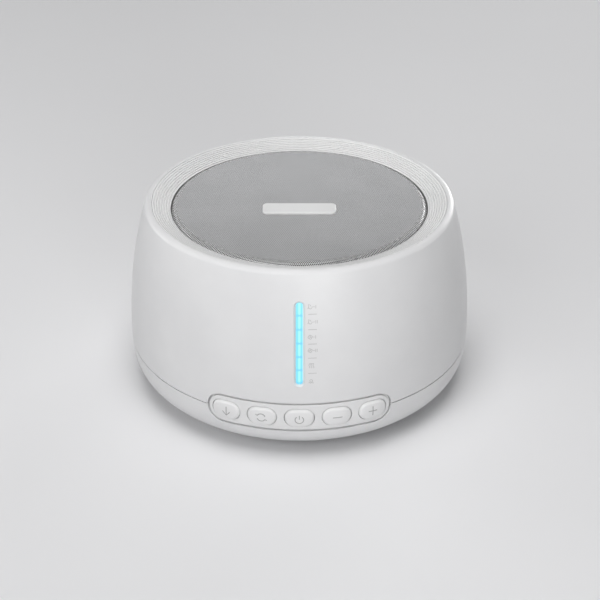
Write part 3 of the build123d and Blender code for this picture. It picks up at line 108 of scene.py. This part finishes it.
# the wall's section: a round corner, an arc up to the widest height and an arc above it
LOWER_CENTRE = BODY_RADIUS - LOWER_WALL_ARC
UPPER_CENTRE = BODY_RADIUS - UPPER_WALL_ARC
CORNER_SLOPE = math.asin((WIDEST_HEIGHT - CORNER_START) / LOWER_WALL_ARC)
CORNER_ROUND = CORNER_START / (1 - math.sin(CORNER_SLOPE))
CORNER_CENTRE = LOWER_CENTRE + (LOWER_WALL_ARC - CORNER_ROUND) * math.cos(CORNER_SLOPE)


def wall_radius(height):
    """The housing's outside radius at a height."""
    if height >= WIDEST_HEIGHT:
        centre, middle, reach = UPPER_CENTRE, WIDEST_HEIGHT, UPPER_WALL_ARC
    elif height >= CORNER_START:
        centre, middle, reach = LOWER_CENTRE, WIDEST_HEIGHT, LOWER_WALL_ARC
    else:
        centre, middle, reach = CORNER_CENTRE, CORNER_ROUND, CORNER_ROUND
    return centre + math.sqrt(reach ** 2 - (height - middle) ** 2)


# ---- Mesh helpers ----
WELD_DISTANCE = 1e-7


def new_object(name, vertices, faces, smooth=True):
    """A mesh object in metres, on its feet, from points in millimetres."""
    mesh = bpy.data.meshes.new(name)
    points = [(x * MM, y * MM, (z + FOOT_HEIGHT) * MM) for x, y, z in vertices]
    mesh.from_pydata(points, [], faces)
    mesh.validate()
    for polygon in mesh.polygons:
        polygon.use_smooth = smooth
    obj = bpy.data.objects.new(name, mesh)
    bpy.context.scene.collection.objects.link(obj)
    return obj


def turned(name, outline, segments=256):
    """A full turn of a closed outline of (radius, height) points."""
    vertices, faces = [], []
    for i in range(segments):
        angle = math.tau * i / segments
        vertices += [(r * math.sin(angle), -r * math.cos(angle), z) for r, z in outline]
    count = len(outline)
    for i in range(segments):
        here, there = i * count, (i + 1) % segments * count
        for j in range(count):
            k = (j + 1) % count
            if outline[j][0] == outline[k][0] == 0:
                continue
            faces.append((here + j, there + j, there + k, here + k))
    obj = new_object(name, vertices, faces)
    bm = bmesh.new()
    bm.from_mesh(obj.data)
    bmesh.ops.remove_doubles(bm, verts=bm.verts, dist=WELD_DISTANCE)
    bmesh.ops.recalc_face_normals(bm, faces=bm.faces)
    bm.to_mesh(obj.data)
    bm.free()
    return obj


def crease(obj, degrees):
    """Keeps edges sharp where two faces turn by more than an angle."""
    bm = bmesh.new()
    bm.from_mesh(obj.data)
    for edge in bm.edges:
        edge.smooth = edge.calc_face_angle(0.0) < math.radians(degrees)
    bm.to_mesh(obj.data)
    bm.free()


# ---- Shader helpers ----
def node(tree, kind, **settings):
    """A shader node with some of its sockets and properties set."""
    made = tree.nodes.new(kind)
    for key, value in settings.items():
        if key in made.inputs:
            made.inputs[key].default_value = value
        else:
            setattr(made, key, value)
    return made


def feed(tree, socket, value):
    """Links an output to a socket, or sets the socket to a constant."""
    if isinstance(value, bpy.types.NodeSocket):
        tree.links.new(value, socket)
    else:
        socket.default_value = value


def maths(tree, operation, first, second=None, clamp=False):
    """The result of a sum with one or two outputs or numbers."""
    made = node(tree, "ShaderNodeMath", operation=operation, use_clamp=clamp)
    feed(tree, made.inputs[0], first)
    if second is not None:
        feed(tree, made.inputs[1], second)
    return made.outputs[0]


def blended(tree, share, first, second, blend_type="MIX"):
    """The colour a share of the way from the first to the second."""
    made = node(tree, "ShaderNodeMix", data_type="RGBA", blend_type=blend_type)
    feed(tree, made.inputs[0], share)
    feed(tree, made.inputs[6], first)
    feed(tree, made.inputs[7], second)
    return made.outputs[2]


def ranged(tree, value, low, high, start=0.0, end=1.0):
    """A number that goes from low to high while the value goes from start to end."""
    made = tree.nodes.new("ShaderNodeMapRange")
    made.inputs["From Min"].default_value = start
    made.inputs["From Max"].default_value = end
    made.inputs["To Min"].default_value = low
    made.inputs["To Max"].default_value = high
    tree.links.new(value, made.inputs["Value"])
    return made.outputs["Result"]


def ramped(tree, value, start, low, end, high):
    """A colour that goes from low to high while the value goes from start to end."""
    made = tree.nodes.new("ShaderNodeValToRGB")
    first, last = made.color_ramp.elements
    first.position, first.color = start, (*low, 1)
    last.position, last.color = end, (*high, 1)
    tree.links.new(value, made.inputs["Fac"])
    return made.outputs["Color"]


def noise(tree, place, scale, detail=3.0):
    """Soft noise over the object, from 0 to 1."""
    made = node(tree, "ShaderNodeTexNoise", Scale=scale, Detail=detail)
    tree.links.new(place, made.inputs["Vector"])
    return made.outputs["Fac"]


def bumped(tree, shader, height, strength, distance):
    """Gives a shader a bump from a height, over a distance in millimetres."""
    made = node(tree, "ShaderNodeBump", Strength=strength, Distance=distance * MM)
    tree.links.new(height, made.inputs["Height"])
    tree.links.new(made.outputs["Normal"], shader.inputs["Normal"])


def seen_ray(tree):
    """1 for rays from the camera and for reflections, and 0 for all others."""
    path = tree.nodes.new("ShaderNodeLightPath")
    direct, mirrored = path.outputs["Is Camera Ray"], path.outputs["Is Glossy Ray"]
    return maths(tree, "MAXIMUM", direct, mirrored)


# ---- Materials ----
MOTTLE_RANGE = (0.35, 0.65)
MOTTLE_SCALE = 55.0
GLOSS_SCALE = 240.0
GRAIN_SCALE = 5200.0
GRAIN_STRENGTH = 0.35
# painted crevice shade: its samples and the span of occlusion that it turns into darkening
CREVICE_SHADE_SAMPLES = 8
CREVICE_SHADE_RANGE = (0.25, 0.85)
METAL_SHADE = 0.88


def blank(name):
    """A material with a Principled shader; returns it, its tree, the shader and coordinates."""
    material = bpy.data.materials.new(name)
    material.use_nodes = True
    tree = material.node_tree
    tree.nodes.clear()
    output = tree.nodes.new("ShaderNodeOutputMaterial")
    shader = tree.nodes.new("ShaderNodeBsdfPrincipled")
    tree.links.new(shader.outputs[0], output.inputs[0])
    coordinates = tree.nodes.new("ShaderNodeTexCoord")
    return material, tree, shader, coordinates.outputs["Object"]


def mottled(tree, place, low, high, scale):
    """A colour that drifts softly between two tones."""
    start, end = MOTTLE_RANGE
    return ramped(tree, noise(tree, place, scale), start, low, end, high)


def varied_roughness(tree, place, shader, low, high, scale):
    """A roughness that drifts between two values."""
    spread = ranged(tree, noise(tree, place, scale), low, high)
    tree.links.new(spread, shader.inputs["Roughness"])


def shaded_in_gaps(tree, tone, darkest):
    """A colour that goes down to a share of itself in narrow crevices: painted shade."""
    cover = node(tree, "ShaderNodeAmbientOcclusion",
                 samples=CREVICE_SHADE_SAMPLES, Distance=CREVICE_SHADE_REACH * MM)
    shade = ranged(tree, cover.outputs["AO"], darkest, 1.0, *CREVICE_SHADE_RANGE)
    return blended(tree, 1.0, tone, shade, "MULTIPLY")


def moulded(name, low, high, rough=(0.38, 0.46), grain_depth=0.06, metallic=0.0, gap_shade=1.0):
    """A moulded or coated surface: two close tones, a fine grain and uneven gloss."""
    material, tree, shader, place = blank(name)
    tone = mottled(tree, place, low, high, MOTTLE_SCALE)
    # painted shade: the tone is darkened in narrow crevices, seams and grooves
    if gap_shade < 1.0:
        tone = shaded_in_gaps(tree, tone, gap_shade)
    tree.links.new(tone, shader.inputs["Base Color"])
    varied_roughness(tree, place, shader, *rough, GLOSS_SCALE)
    grain = noise(tree, place, GRAIN_SCALE, 2.0)
    bumped(tree, shader, grain, GRAIN_STRENGTH, grain_depth)
    shader.inputs["Metallic"].default_value = metallic
    return material


def turned_metal(name, tone, rough=(0.26, 0.4)):
    """A metal with fine turning marks round the upright axis."""
    material, tree, shader, place = blank(name)
    low = tuple(METAL_SHADE * value for value in tone)
    tree.links.new(mottled(tree, place, low, tone, 420.0), shader.inputs["Base Color"])
    varied_roughness(tree, place, shader, *rough, 1900.0)
    wave = node(tree, "ShaderNodeTexWave", Scale=900.0, Distortion=2.0,
                wave_type="BANDS", bands_direction="Z")
    tree.links.new(place, wave.inputs["Vector"])
    bumped(tree, shader, wave.outputs["Fac"], 0.15, 0.02)
    shader.inputs["Metallic"].default_value = 1.0
    return material


LIT_CORE = (0.5, 1.0, 1.0, 1)
LIT_SIDE = (0.25, 0.76, 0.97, 1)
LIT_JOINT = (0.2, 0.64, 0.93, 1)
# painted glow on the guide's flanks, darker on the left as painted shade and paler on the right
# as painted light
LEFT_FLANK_SHADE = (0.4, 0.56, 0.6, 1)
RIGHT_FLANK_LIGHT = (0.7, 0.86, 0.91, 1)
LIT_STRENGTH = 0.95
GUIDE_TONE = (0.02, 0.12, 0.15, 1)
JOINT_SHARPNESS = 7.0


def lit_bar():
    """The light guide: six cells, each brighter along its middle, with dimmer joints."""
    material, tree, shader, place = blank("lit_bar")
    axes = tree.nodes.new("ShaderNodeSeparateXYZ")
    tree.links.new(place, axes.inputs[0])
    lean = math.asin((BAR_HEIGHT - WIDEST_HEIGHT) / UPPER_WALL_ARC)
    pitch = LIGHT_PITCH * math.cos(lean) * MM
    middle = (BAR_HEIGHT + FOOT_HEIGHT + JOINT_LIFT) * MM

    # distance from the nearest joint between cells, in cells
    along = maths(tree, "DIVIDE", maths(tree, "SUBTRACT", axes.outputs["Z"], middle), pitch)
    joint = maths(tree, "PINGPONG", along, 0.5)
    sharp = maths(tree, "MULTIPLY", joint, JOINT_SHARPNESS)
    cell = maths(tree, "SMOOTH_MIN", sharp, 1.0, clamp=True)

    # the lit middle, brightest along the guide's line
    aside = maths(tree, "ABSOLUTE", axes.outputs["X"])
    across = maths(tree, "MULTIPLY", aside, 1 / (CORE_HALF_WIDTH * MM))
    core = maths(tree, "SUBTRACT", 1.0, across, clamp=True)
    core = maths(tree, "MULTIPLY", core, cell, clamp=True)
    lit = blended(tree, core, blended(tree, cell, LIT_JOINT, LIT_SIDE), LIT_CORE)

    # the guide's unlit flanks get a painted glow of the lit middle, the left one darker as
    # painted shade and the right one paler as painted light
    beyond = maths(tree, "SUBTRACT", aside, GUIDE_HALF_WIDTH * MM)
    beyond = maths(tree, "MULTIPLY", beyond, 1 / (FLANK_BLEND * MM), clamp=True)
    right = maths(tree, "GREATER_THAN", axes.outputs["X"], 0.0)
    flank = blended(tree, right, LEFT_FLANK_SHADE, RIGHT_FLANK_LIGHT)
    tree.links.new(blended(tree, beyond, lit, flank), shader.inputs["Emission Color"])

    shader.inputs["Emission Strength"].default_value = LIT_STRENGTH
    shader.inputs["Base Color"].default_value = GUIDE_TONE
    shader.inputs["Roughness"].default_value = 0.3
    bumped(tree, shader, noise(tree, place, 2600.0, 2.0), 0.2, 0.03)
    return material


def neutral(value):
    """A tone without colour."""
    return value, value, value


white = moulded("white_moulding", (0.735, 0.735, 0.742), (0.765, 0.765, 0.77))
# the ring's grooves and the key panel's seams get painted shade
white_ring = moulded("white_ring", neutral(0.87), neutral(0.9), gap_shade=0.35)
white_key = moulded("white_key", (0.75, 0.75, 0.752), (0.785, 0.785, 0.787),
                    rough=(0.33, 0.42), gap_shade=0.85)
mesh_metal = moulded("mesh_metal", neutral(0.76), neutral(0.8),
                     rough=(0.15, 0.22), grain_depth=0.02, metallic=0.6)
# the roll's copy of the mesh metal, lighter and less metallic: a painted highlight where the
# sheet bends down to the front
roll_metal_highlight = moulded("roll_metal_highlight", neutral(0.9), neutral(0.94),
                     rough=(0.25, 0.32), grain_depth=0.02, metallic=0.3)
badge_finish = moulded("badge_finish", neutral(0.76), neutral(0.82), rough=(0.2, 0.3))
print_grey = moulded("print_grey", neutral(0.49), neutral(0.54), rough=(0.5, 0.6))
icon_grey = moulded("icon_grey", neutral(0.33), neutral(0.38), rough=(0.5, 0.6))
rubber = moulded("rubber", (0.13, 0.13, 0.135), (0.17, 0.17, 0.175),
                 rough=(0.72, 0.85), grain_depth=0.1)
steel = turned_metal("plated_steel", (0.62, 0.62, 0.6))
copper = turned_metal("copper_wire", (0.72, 0.36, 0.18))
board = moulded("board_green", (0.02, 0.1, 0.05), (0.03, 0.14, 0.07), rough=(0.3, 0.4))
film = moulded("amber_film", (0.42, 0.2, 0.04), (0.5, 0.26, 0.06), rough=(0.25, 0.35))
black = moulded("black_moulding", (0.018, 0.018, 0.02), (0.03, 0.03, 0.032),
                rough=(0.45, 0.6))
grey = moulded("grey_moulding", (0.2, 0.2, 0.205), (0.24, 0.24, 0.245), rough=(0.5, 0.6))
cream = moulded("cream_moulding", (0.66, 0.62, 0.5), (0.72, 0.68, 0.56), rough=(0.4, 0.5))
ferrite = moulded("ferrite", (0.04, 0.04, 0.042), (0.06, 0.06, 0.062),
                  rough=(0.6, 0.75), grain_depth=0.15)
paper = moulded("cone_paper", (0.03, 0.03, 0.032), (0.05, 0.05, 0.052),
                rough=(0.8, 0.9), grain_depth=0.2)
cloth = moulded("spider_cloth", (0.38, 0.26, 0.1), (0.46, 0.32, 0.14),
                rough=(0.7, 0.8), grain_depth=0.2)
# a dark layer under the sheet's skin, painted shade seen through the holes; the copy under the
# roll is blacker, deeper painted shade
shade_layer_grey = moulded("shade_layer_grey", (0.06, 0.06, 0.062), (0.08, 0.08, 0.082),
                     rough=(0.85, 0.95))
shade_layer_black = moulded("shade_layer_black", (0.008, 0.008, 0.009), (0.014, 0.014, 0.015),
                      rough=(0.85, 0.95))
foam = moulded("foam", neutral(0.03), neutral(0.05), rough=(0.9, 1.0), grain_depth=0.25)
lamp = moulded("lamp_body", (0.8, 0.82, 0.6), (0.86, 0.88, 0.68), rough=(0.2, 0.3))

FINISHES = {
    "upper_housing": white,
    "lower_housing": white,
    "grooved_ring": white_ring,
    "speaker_grille": mesh_metal,
    "badge_plate": badge_finish,
    "rubber_feet": rubber,
    "key_panel": white_key,
    "key_flex_board": film,
    "key_carrier": grey,
    "light_bar_lens": lit_bar(),
    "light_divider": white,
    "bar_lights": lamp,
    "light_board": board,
    "speaker_frame": black,
    "speaker_gasket": foam,
    "speaker_surround": foam,
    "speaker_cone": paper,
    "dust_cap": paper,
    "voice_coil": copper,
    "speaker_spider": cloth,
    "speaker_top_plate": steel,
    "speaker_magnet": ferrite,
    "speaker_yoke": steel,
    "terminal_board": film,
    "main_board": board,
    "control_chip": black,
    "memory_chip": black,
    "amplifier_chip": black,
    "light_socket": cream,
    "speaker_socket": cream,
    "chokes": ferrite,
    "capacitors": steel,
    "flex_connector": cream,
    "power_inlet_shell": steel,
    "power_inlet_core": black,
    "light_lead": black,
    "speaker_lead": black,
}
for name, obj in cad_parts.items():
    if "screws" in name:
        finish = steel
    elif name.startswith("key_") and name[4:] in KEYS:
        finish = white_key
    elif name.startswith("switch_"):
        finish = black
    else:
        finish = FINISHES[name]
    obj.data.materials.clear()
    obj.data.materials.append(finish)


# ---- Perforated grille ----
ROLL_END = GRILLE_FLAT + GRILLE_ROLL * math.pi / 2
GRILLE_RADIUS = GRILLE_FLAT + GRILLE_ROLL
HOLES_END = ROLL_END + SKIRT_HOLES
FLANGE_TOP = DECK_TOP + SHEET_DEPTH
CORNER_STEP = 0.01


def on_grille(along, inset=0.0):
    """Radius and height on the bent sheet, a distance along it from the axis, set in."""
    roll_centre = GRILLE_TOP - GRILLE_ROLL
    if along <= GRILLE_FLAT:
        return along, GRILLE_TOP - inset
    if along >= ROLL_END:
        return GRILLE_RADIUS - inset, roll_centre - (along - ROLL_END)
    bend = (along - GRILLE_FLAT) / GRILLE_ROLL
    reach = GRILLE_ROLL - inset
    return GRILLE_FLAT + reach * math.sin(bend), roll_centre + reach * math.cos(bend)


def perforated_sheet(name, start, end):
    """A round band of the grille's outer skin, a staggered net of small holes."""
    hole = ROLL_HOLE_RADIUS if start >= GRILLE_FLAT else HOLE_RADIUS
    row_step = HOLE_PITCH * math.sqrt(3) / 2
    cell_radius = HOLE_PITCH / math.sqrt(3)
    corners = [(math.cos(math.radians(a)), math.sin(math.radians(a)))
               for a in range(30, 390, 60)]
    vertices, faces, known = [], [], {}

    def bent(u, v):
        along = math.hypot(u, v)
        radius, height = on_grille(along)
        return u * radius / along, v * radius / along, height

    def corner(u, v):
        # neighbouring cells share their corners, told apart on a grid of CORNER_STEP
        key = (round(u / CORNER_STEP), round(v / CORNER_STEP))
        if key not in known:
            known[key] = len(vertices)
            vertices.append(bent(u, v))
        return known[key]

    rows = int(end / row_step) + 1
    for row in range(-rows, rows + 1):
        v = row * row_step
        shift = HOLE_PITCH / 2 if row % 2 else 0.0
        half = int(math.sqrt(max(end ** 2 - v ** 2, 0)) / HOLE_PITCH) + 1
        for column in range(-half, half + 1):
            u = column * HOLE_PITCH + shift
            if not start <= math.hypot(u, v) < end:
                continue
            outer = [corner(u + cell_radius * x, v + cell_radius * y) for x, y in corners]
            inner = len(vertices)
            vertices += [bent(u + hole * x, v + hole * y) for x, y in corners]
            for i in range(6):
                j = (i + 1) % 6
                faces.append((outer[i], outer[j], inner + j, inner + i))
    return new_object(name, vertices, faces)


def bent_layer(name, start, end, top, depth, steps=14):
    """A plain ring of the bent sheet between two distances along it and two depths."""
    way = [start + (end - start) * i / steps for i in range(steps + 1)]
    outline = [on_grille(along, top) for along in way]
    outline += [on_grille(along, depth) for along in reversed(way)]
    return turned(name, outline)


def grille_flange():
    """The plain foot of the skirt, with the flange under the ring."""
    start = on_grille(HOLES_END - HOLE_PITCH)[1]
    return turned("grille_flange", [
        (GRILLE_RADIUS - SHEET_SKIN / 2, start),
        (GRILLE_RADIUS - SHEET_SKIN / 2, FLANGE_TOP),
        (GRILLE_FLANGE_END, FLANGE_TOP),
        (GRILLE_FLANGE_END, DECK_TOP),
        (GRILLE_RADIUS - SHEET_DEPTH, DECK_TOP),
        (GRILLE_RADIUS - SHEET_DEPTH, start),
    ])


grille_pieces = {
    perforated_sheet("grille_sheet", 0, SHEET_SPLIT): mesh_metal,
    perforated_sheet("grille_sheet_outer", SHEET_SPLIT, GRILLE_FLAT): mesh_metal,
    # the roll takes the lighter copy of the metal, a painted highlight
    perforated_sheet("grille_sheet_roll", GRILLE_FLAT, HOLES_END): roll_metal_highlight,
    grille_flange(): mesh_metal,
    # dark layers under the skin: painted shade in the holes, blacker under the roll
    bent_layer("grille_shade_layer", 0, GRILLE_FLAT, SHEET_SKIN, SHEET_DEPTH, 6): shade_layer_grey,
    bent_layer("grille_shade_layer_edge", GRILLE_FLAT, HOLES_END, SHEET_SKIN, SHEET_DEPTH): shade_layer_black,
}
for piece, finish in grille_pieces.items():
    piece.data.materials.append(finish)
    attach(piece, "housing")
    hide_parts("speaker_grille")


# ---- Grooved ring ----
def ring_outline():
    """The ring's section: a sloping face with round grooves, rounded at its inner edge."""
    rise, width = RING_OUTER_TOP - RING_INNER_TOP, RING_OUTER_RADIUS - RING_INNER_RADIUS
    slope = math.atan2(rise, width)

    def on_slope(radius, out=0.0):
        height = RING_INNER_TOP + (radius - RING_INNER_RADIUS) * math.tan(slope)
        return radius - out * math.sin(slope), height + out * math.cos(slope)

    round_radius = RING_INNER_RADIUS + RING_ROUND
    round_height = RING_INNER_TOP + RING_ROUND * (math.tan(slope) - 1 / math.cos(slope))
    outline = [(RING_INNER_RADIUS, FLANGE_TOP)]
    for i in range(RING_ROUND_STEPS + 1):
        angle = math.pi - (math.pi / 2 - slope) * i / RING_ROUND_STEPS
        outline.append((round_radius + RING_ROUND * math.cos(angle),
                        round_height + RING_ROUND * math.sin(angle)))
    for i in reversed(range(GROOVE_COUNT)):
        middle = RING_OUTER_RADIUS - GROOVE_MARGIN - i * GROOVE_PITCH
        for k in range(GROOVE_STEPS + 1):
            angle = math.pi * (1 + k / GROOVE_STEPS)
            along, out = GROOVE_RADIUS * math.cos(angle), GROOVE_RADIUS * math.sin(angle)
            outline.append(on_slope(middle + along * math.cos(slope), out))
    outline += [(RING_OUTER_RADIUS, RING_OUTER_TOP), (RING_OUTER_RADIUS, DECK_TOP)]
    return outline + [(RING_HEM_RADIUS, DECK_TOP), (RING_HEM_RADIUS, FLANGE_TOP)]


ring_piece = turned("ring_face", ring_outline(), RING_SEGMENTS)
ring_piece.data.materials.append(white_ring)
crease(ring_piece, RING_CREASE)
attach(ring_piece, "housing")
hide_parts("grooved_ring")


# ---- Printed signs ----
def on_wall(u, v, lift):
    """A point printed on the wall: u along the wall from the front, v is its height."""
    radius = wall_radius(v)
    angle = u / radius
    return (radius + lift) * math.sin(angle), -(radius + lift) * math.cos(angle), v


def on_key(index):
    """Where a point printed on one key's dome lies: u across and v up from its middle."""
    turn = (index - (len(KEYS) - 1) / 2) * KEY_PITCH / BODY_RADIUS
    crest = wall_radius(PANEL_HEIGHT) + KEY_RISE

    def place(u, v, lift):
        out = crest - KEY_CROWN + math.sqrt((KEY_CROWN + lift) ** 2 - u ** 2 - v ** 2)
        x = u * math.cos(turn) + out * math.sin(turn)
        y = u * math.sin(turn) - out * math.cos(turn)
        return x, y, PANEL_HEIGHT + v

    return place


def arc(cx, cy, radius, start, end, steps):
    """Points along a circle's arc, in degrees from the right, turning left."""
    angles = [math.radians(start + (end - start) * i / steps) for i in range(steps + 1)]
    return [(cx + radius * math.cos(a), cy + radius * math.sin(a)) for a in angles]


def ribbon(points, width):
    """The left and right edges of a stroke of even width along a line."""
    left, right = [], []
    for i, (x, y) in enumerate(points):
        before = points[max(i - 1, 0)]
        after = points[min(i + 1, len(points) - 1)]
        dx, dy = after[0] - before[0], after[1] - before[1]
        length = math.hypot(dx, dy)
        nx, ny = -dy / length * width / 2, dx / length * width / 2
        left.append((x + nx, y + ny))
        right.append((x - nx, y - ny))
    return left, right


def printed(name, strokes, place, width, body, finish):
    """A raised print: each stroke is a thin slab that follows the surface under it."""
    vertices, faces = [], []
    for points in strokes:
        left, right = ribbon(points, width)
        start = len(vertices)
        for a, b in zip(left, right):
            vertices += [place(*a, PRINT_LIFT), place(*b, PRINT_LIFT)]
            vertices += [place(*b, -PRINT_ROOT), place(*a, -PRINT_ROOT)]
        for i in range(len(points) - 1):
            here, there = start + 4 * i, start + 4 * i + 4
            for j in range(4):
                k = (j + 1) % 4
                faces.append((here + j, here + k, there + k, there + j))
        faces.append((start, start + 3, start + 2, start + 1))
        last = start + 4 * (len(points) - 1)
        faces.append((last, last + 1, last + 2, last + 3))
    obj = new_object(name, vertices, faces, smooth=False)
    obj.data.materials.append(finish)
    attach(obj, body)


def moved(strokes, du, dv):
    """Strokes shifted to their place."""
    return [[(x + du, y + dv) for x, y in points] for points in strokes]


def count_marks(number, x=2.4):
    """One or two short upright strokes after a small dash."""
    marks = [[(x - 0.75, 0), (x - 0.3, 0)]]
    return marks + [[(x + 0.45 * i, -0.5), (x + 0.45 * i, 0.5)] for i in range(number)]


def bird():
    """A small bird with a raised wing, looking right."""
    body = arc(0.75, -0.1, 0.5, 150, 340, 10)
    wing = [(0.35, 0.1), (0.15, 0.75), (0.7, 0.55), (1.05, 0.15)]
    tail = [(0.3, -0.05), (0.0, -0.55)]
    beak = [(1.2, -0.2), (1.5, 0.05)]
    return [body, wing, tail, beak]


def fan():
    """A round fan with four blades."""
    blades = [arc(0.75 + 0.36 * math.cos(a), 0.36 * math.sin(a), 0.3,
                  math.degrees(a) - 120, math.degrees(a) + 120, 8)
              for a in (0.3, 0.3 + math.pi / 2, 0.3 + math.pi, 0.3 + 1.5 * math.pi)]
    return blades + [arc(0.75, 0, 0.1, 0, 360, 8)]


def rain():
    """Three upright ripples under a line."""
    def ripple(x):
        return [(x + 0.16 * math.sin(k * math.pi / 4), -0.65 + 1.3 * k / 8) for k in range(9)]
    return [ripple(x) for x in (0.55, 1.15, 1.75)] + [[(0.45, 0.8), (1.95, 0.8)]]


def shore():
    """A round sun over one wave."""
    wave = [(0.35 + 1.5 * k / 12, -0.5 + 0.14 * math.sin(k * math.pi / 3)) for k in range(13)]
    return [arc(1.1, 0.15, 0.42, 0, 360, 16), wave]


SIGNS = (
    bird() + count_marks(1),
    bird() + count_marks(2),
    fan() + count_marks(1),
    fan() + count_marks(2),
    rain(),
    shore(),
)
strokes = []
for sign, height in zip(SIGNS, SIGN_HEIGHTS):
    strokes += moved(sign, SIGN_START, height)
rule_start, rule_end = RULE_SPAN
rule = [rule_start + (rule_end - rule_start) * i / RULE_STEPS for i in range(RULE_STEPS + 1)]
for height in RULE_HEIGHTS:
    strokes.append([(u, height) for u in rule])
printed("sound_signs", strokes, on_wall, PRINT_STROKE, "housing", print_grey)

ICONS = {
    "timer": [
        [(0.45, 1.6), (0.45, 0.5), (0.45, -0.5), (0.45, -1.4)],
        [(-0.75, -0.1), (-0.2, -0.75), (0.45, -1.5), (1.1, -0.75), (1.6, -0.2)],
    ],
    "sound": [
        arc(0, 0, 1.3, 20, 150, 16),
        arc(0, 0, 1.3, 200, 330, 16),
        [(-1.75, 0.95), (-1.15, 0.62), (-0.8, 1.2)],
        [(1.75, -0.95), (1.15, -0.62), (0.8, -1.2)],
    ],
    "power": [arc(0, -0.1, 1.3, 128, 412, 26), [(0, 1.45), (0, 0.7), (0, 0.1)]],
    "volume_down": [[(-1.5, 0), (-0.5, 0), (0.5, 0), (1.5, 0)]],
    "volume_up": [
        [(-1.7, 0.1), (-0.8, 0.1), (0.2, 0.1), (1.1, 0.1)],
        [(-0.3, -1.5), (-0.3, -0.5), (-0.3, 0.5), (-0.3, 1.7)],
    ],
}
for index, name in enumerate(KEYS):
    printed(f"sign_{name}", ICONS[name], on_key(index), ICON_STROKE,
            f"{name}_key", icon_grey)

# ---- Camera, floor and light: metres and degrees, but the lens in millimetres ----
CAMERA_LENS = 86.03
CAMERA_SENSOR = 36.0
CAMERA_SHIFT = (0.0011, -0.0009)
CAMERA_PLACE = (0, -0.4144, 0.26635)
CAMERA_PITCH = 30.248
FLOOR_HALF_WIDTH = 4.0
FLOOR_TONES = ((0.78, 0.78, 0.79), (0.8, 0.8, 0.81))
FLOOR_BOUNCE = (0.55, 0.55, 0.56, 1)
LAMP_AIM = (0, 0, 0.035)
LAMP_DISTANCE = 1.3
WORLD_FILL = 0.06
HORIZON_GLOW = (0.41, 0.52)
BELOW_HORIZON = (0.9, 0.91, 0.93)
ABOVE_HORIZON = (0.12, 0.12, 0.125)

camera_data = bpy.data.cameras.new("camera")
camera_data.sensor_width = CAMERA_SENSOR
camera_data.lens = CAMERA_LENS
camera_data.shift_x, camera_data.shift_y = CAMERA_SHIFT
camera = bpy.data.objects.new("camera", camera_data)
camera.location = CAMERA_PLACE
camera.rotation_euler = (math.radians(90 - CAMERA_PITCH), 0, 0)
bpy.context.scene.collection.objects.link(camera)
bpy.context.scene.camera = camera


def floor():
    """A wide pale floor that gives back less light than it shows."""
    bm = bmesh.new()
    bmesh.ops.create_grid(bm, x_segments=8, y_segments=8, size=FLOOR_HALF_WIDTH)
    mesh = bpy.data.meshes.new("floor")
    bm.to_mesh(mesh)
    bm.free()
    obj = bpy.data.objects.new("floor", mesh)
    bpy.context.scene.collection.objects.link(obj)
    material, tree, shader, place = blank("floor_paper")
    tone = mottled(tree, place, *FLOOR_TONES, 3.0)
    shown = blended(tree, seen_ray(tree), FLOOR_BOUNCE, tone)
    tree.links.new(shown, shader.inputs["Base Color"])
    shader.inputs["Roughness"].default_value = 0.9
    shader.inputs["Specular IOR Level"].default_value = 0.1
    mesh.materials.append(material)


def softbox(name, angle, rise, size, level, mirrored=True):
    """A square soft light at an angle from the front, turned to the object.

    Its level is how bright it alone makes a white face turned to it, with 1 as white.
    A lamp that isn't mirrored lights the object without a reflection of its own.
    """
    data = bpy.data.lights.new(name, "AREA")
    data.size = size
    data.energy = level * math.pi ** 2 * LAMP_DISTANCE ** 2
    obj = bpy.data.objects.new(name, data)
    turn, lift = math.radians(angle), math.radians(rise)
    away = Vector((math.sin(turn) * math.cos(lift),
                   -math.cos(turn) * math.cos(lift), math.sin(lift)))
    obj.location = Vector(LAMP_AIM) + LAMP_DISTANCE * away
    obj.rotation_euler = away.to_track_quat("Z", "Y").to_euler()
    obj.visible_camera = False
    obj.visible_glossy = mirrored
    bpy.context.scene.collection.objects.link(obj)


def studio():
    """A world that is pale below the horizon and dark above it."""
    world = bpy.data.worlds.new("studio")
    bpy.context.scene.world = world
    world.use_nodes = True
    tree = world.node_tree
    background = tree.nodes["Background"]
    direction = tree.nodes.new("ShaderNodeTexCoord")
    axes = tree.nodes.new("ShaderNodeSeparateXYZ")
    tree.links.new(direction.outputs["Generated"], axes.inputs[0])
    start, end = HORIZON_GLOW
    walls = ramped(tree, axes.outputs["Z"], start, BELOW_HORIZON, end, ABOVE_HORIZON)
    tree.links.new(walls, background.inputs["Color"])
    strength = ranged(tree, seen_ray(tree), WORLD_FILL, 1.0)
    tree.links.new(strength, background.inputs["Strength"])


floor()
softbox("key_light", angle=-35, rise=30, size=0.8, level=0.28)
softbox("front_light", angle=12, rise=9, size=0.5, level=0.36)
softbox("left_light", angle=-112, rise=5, size=0.5, level=0.22)
softbox("right_light", angle=150, rise=5, size=0.5, level=0.44)
softbox("top_light", angle=-10, rise=82, size=0.8, level=0.7, mirrored=False)
studio()

scene = bpy.context.scene
scene.view_settings.view_transform = "Standard"
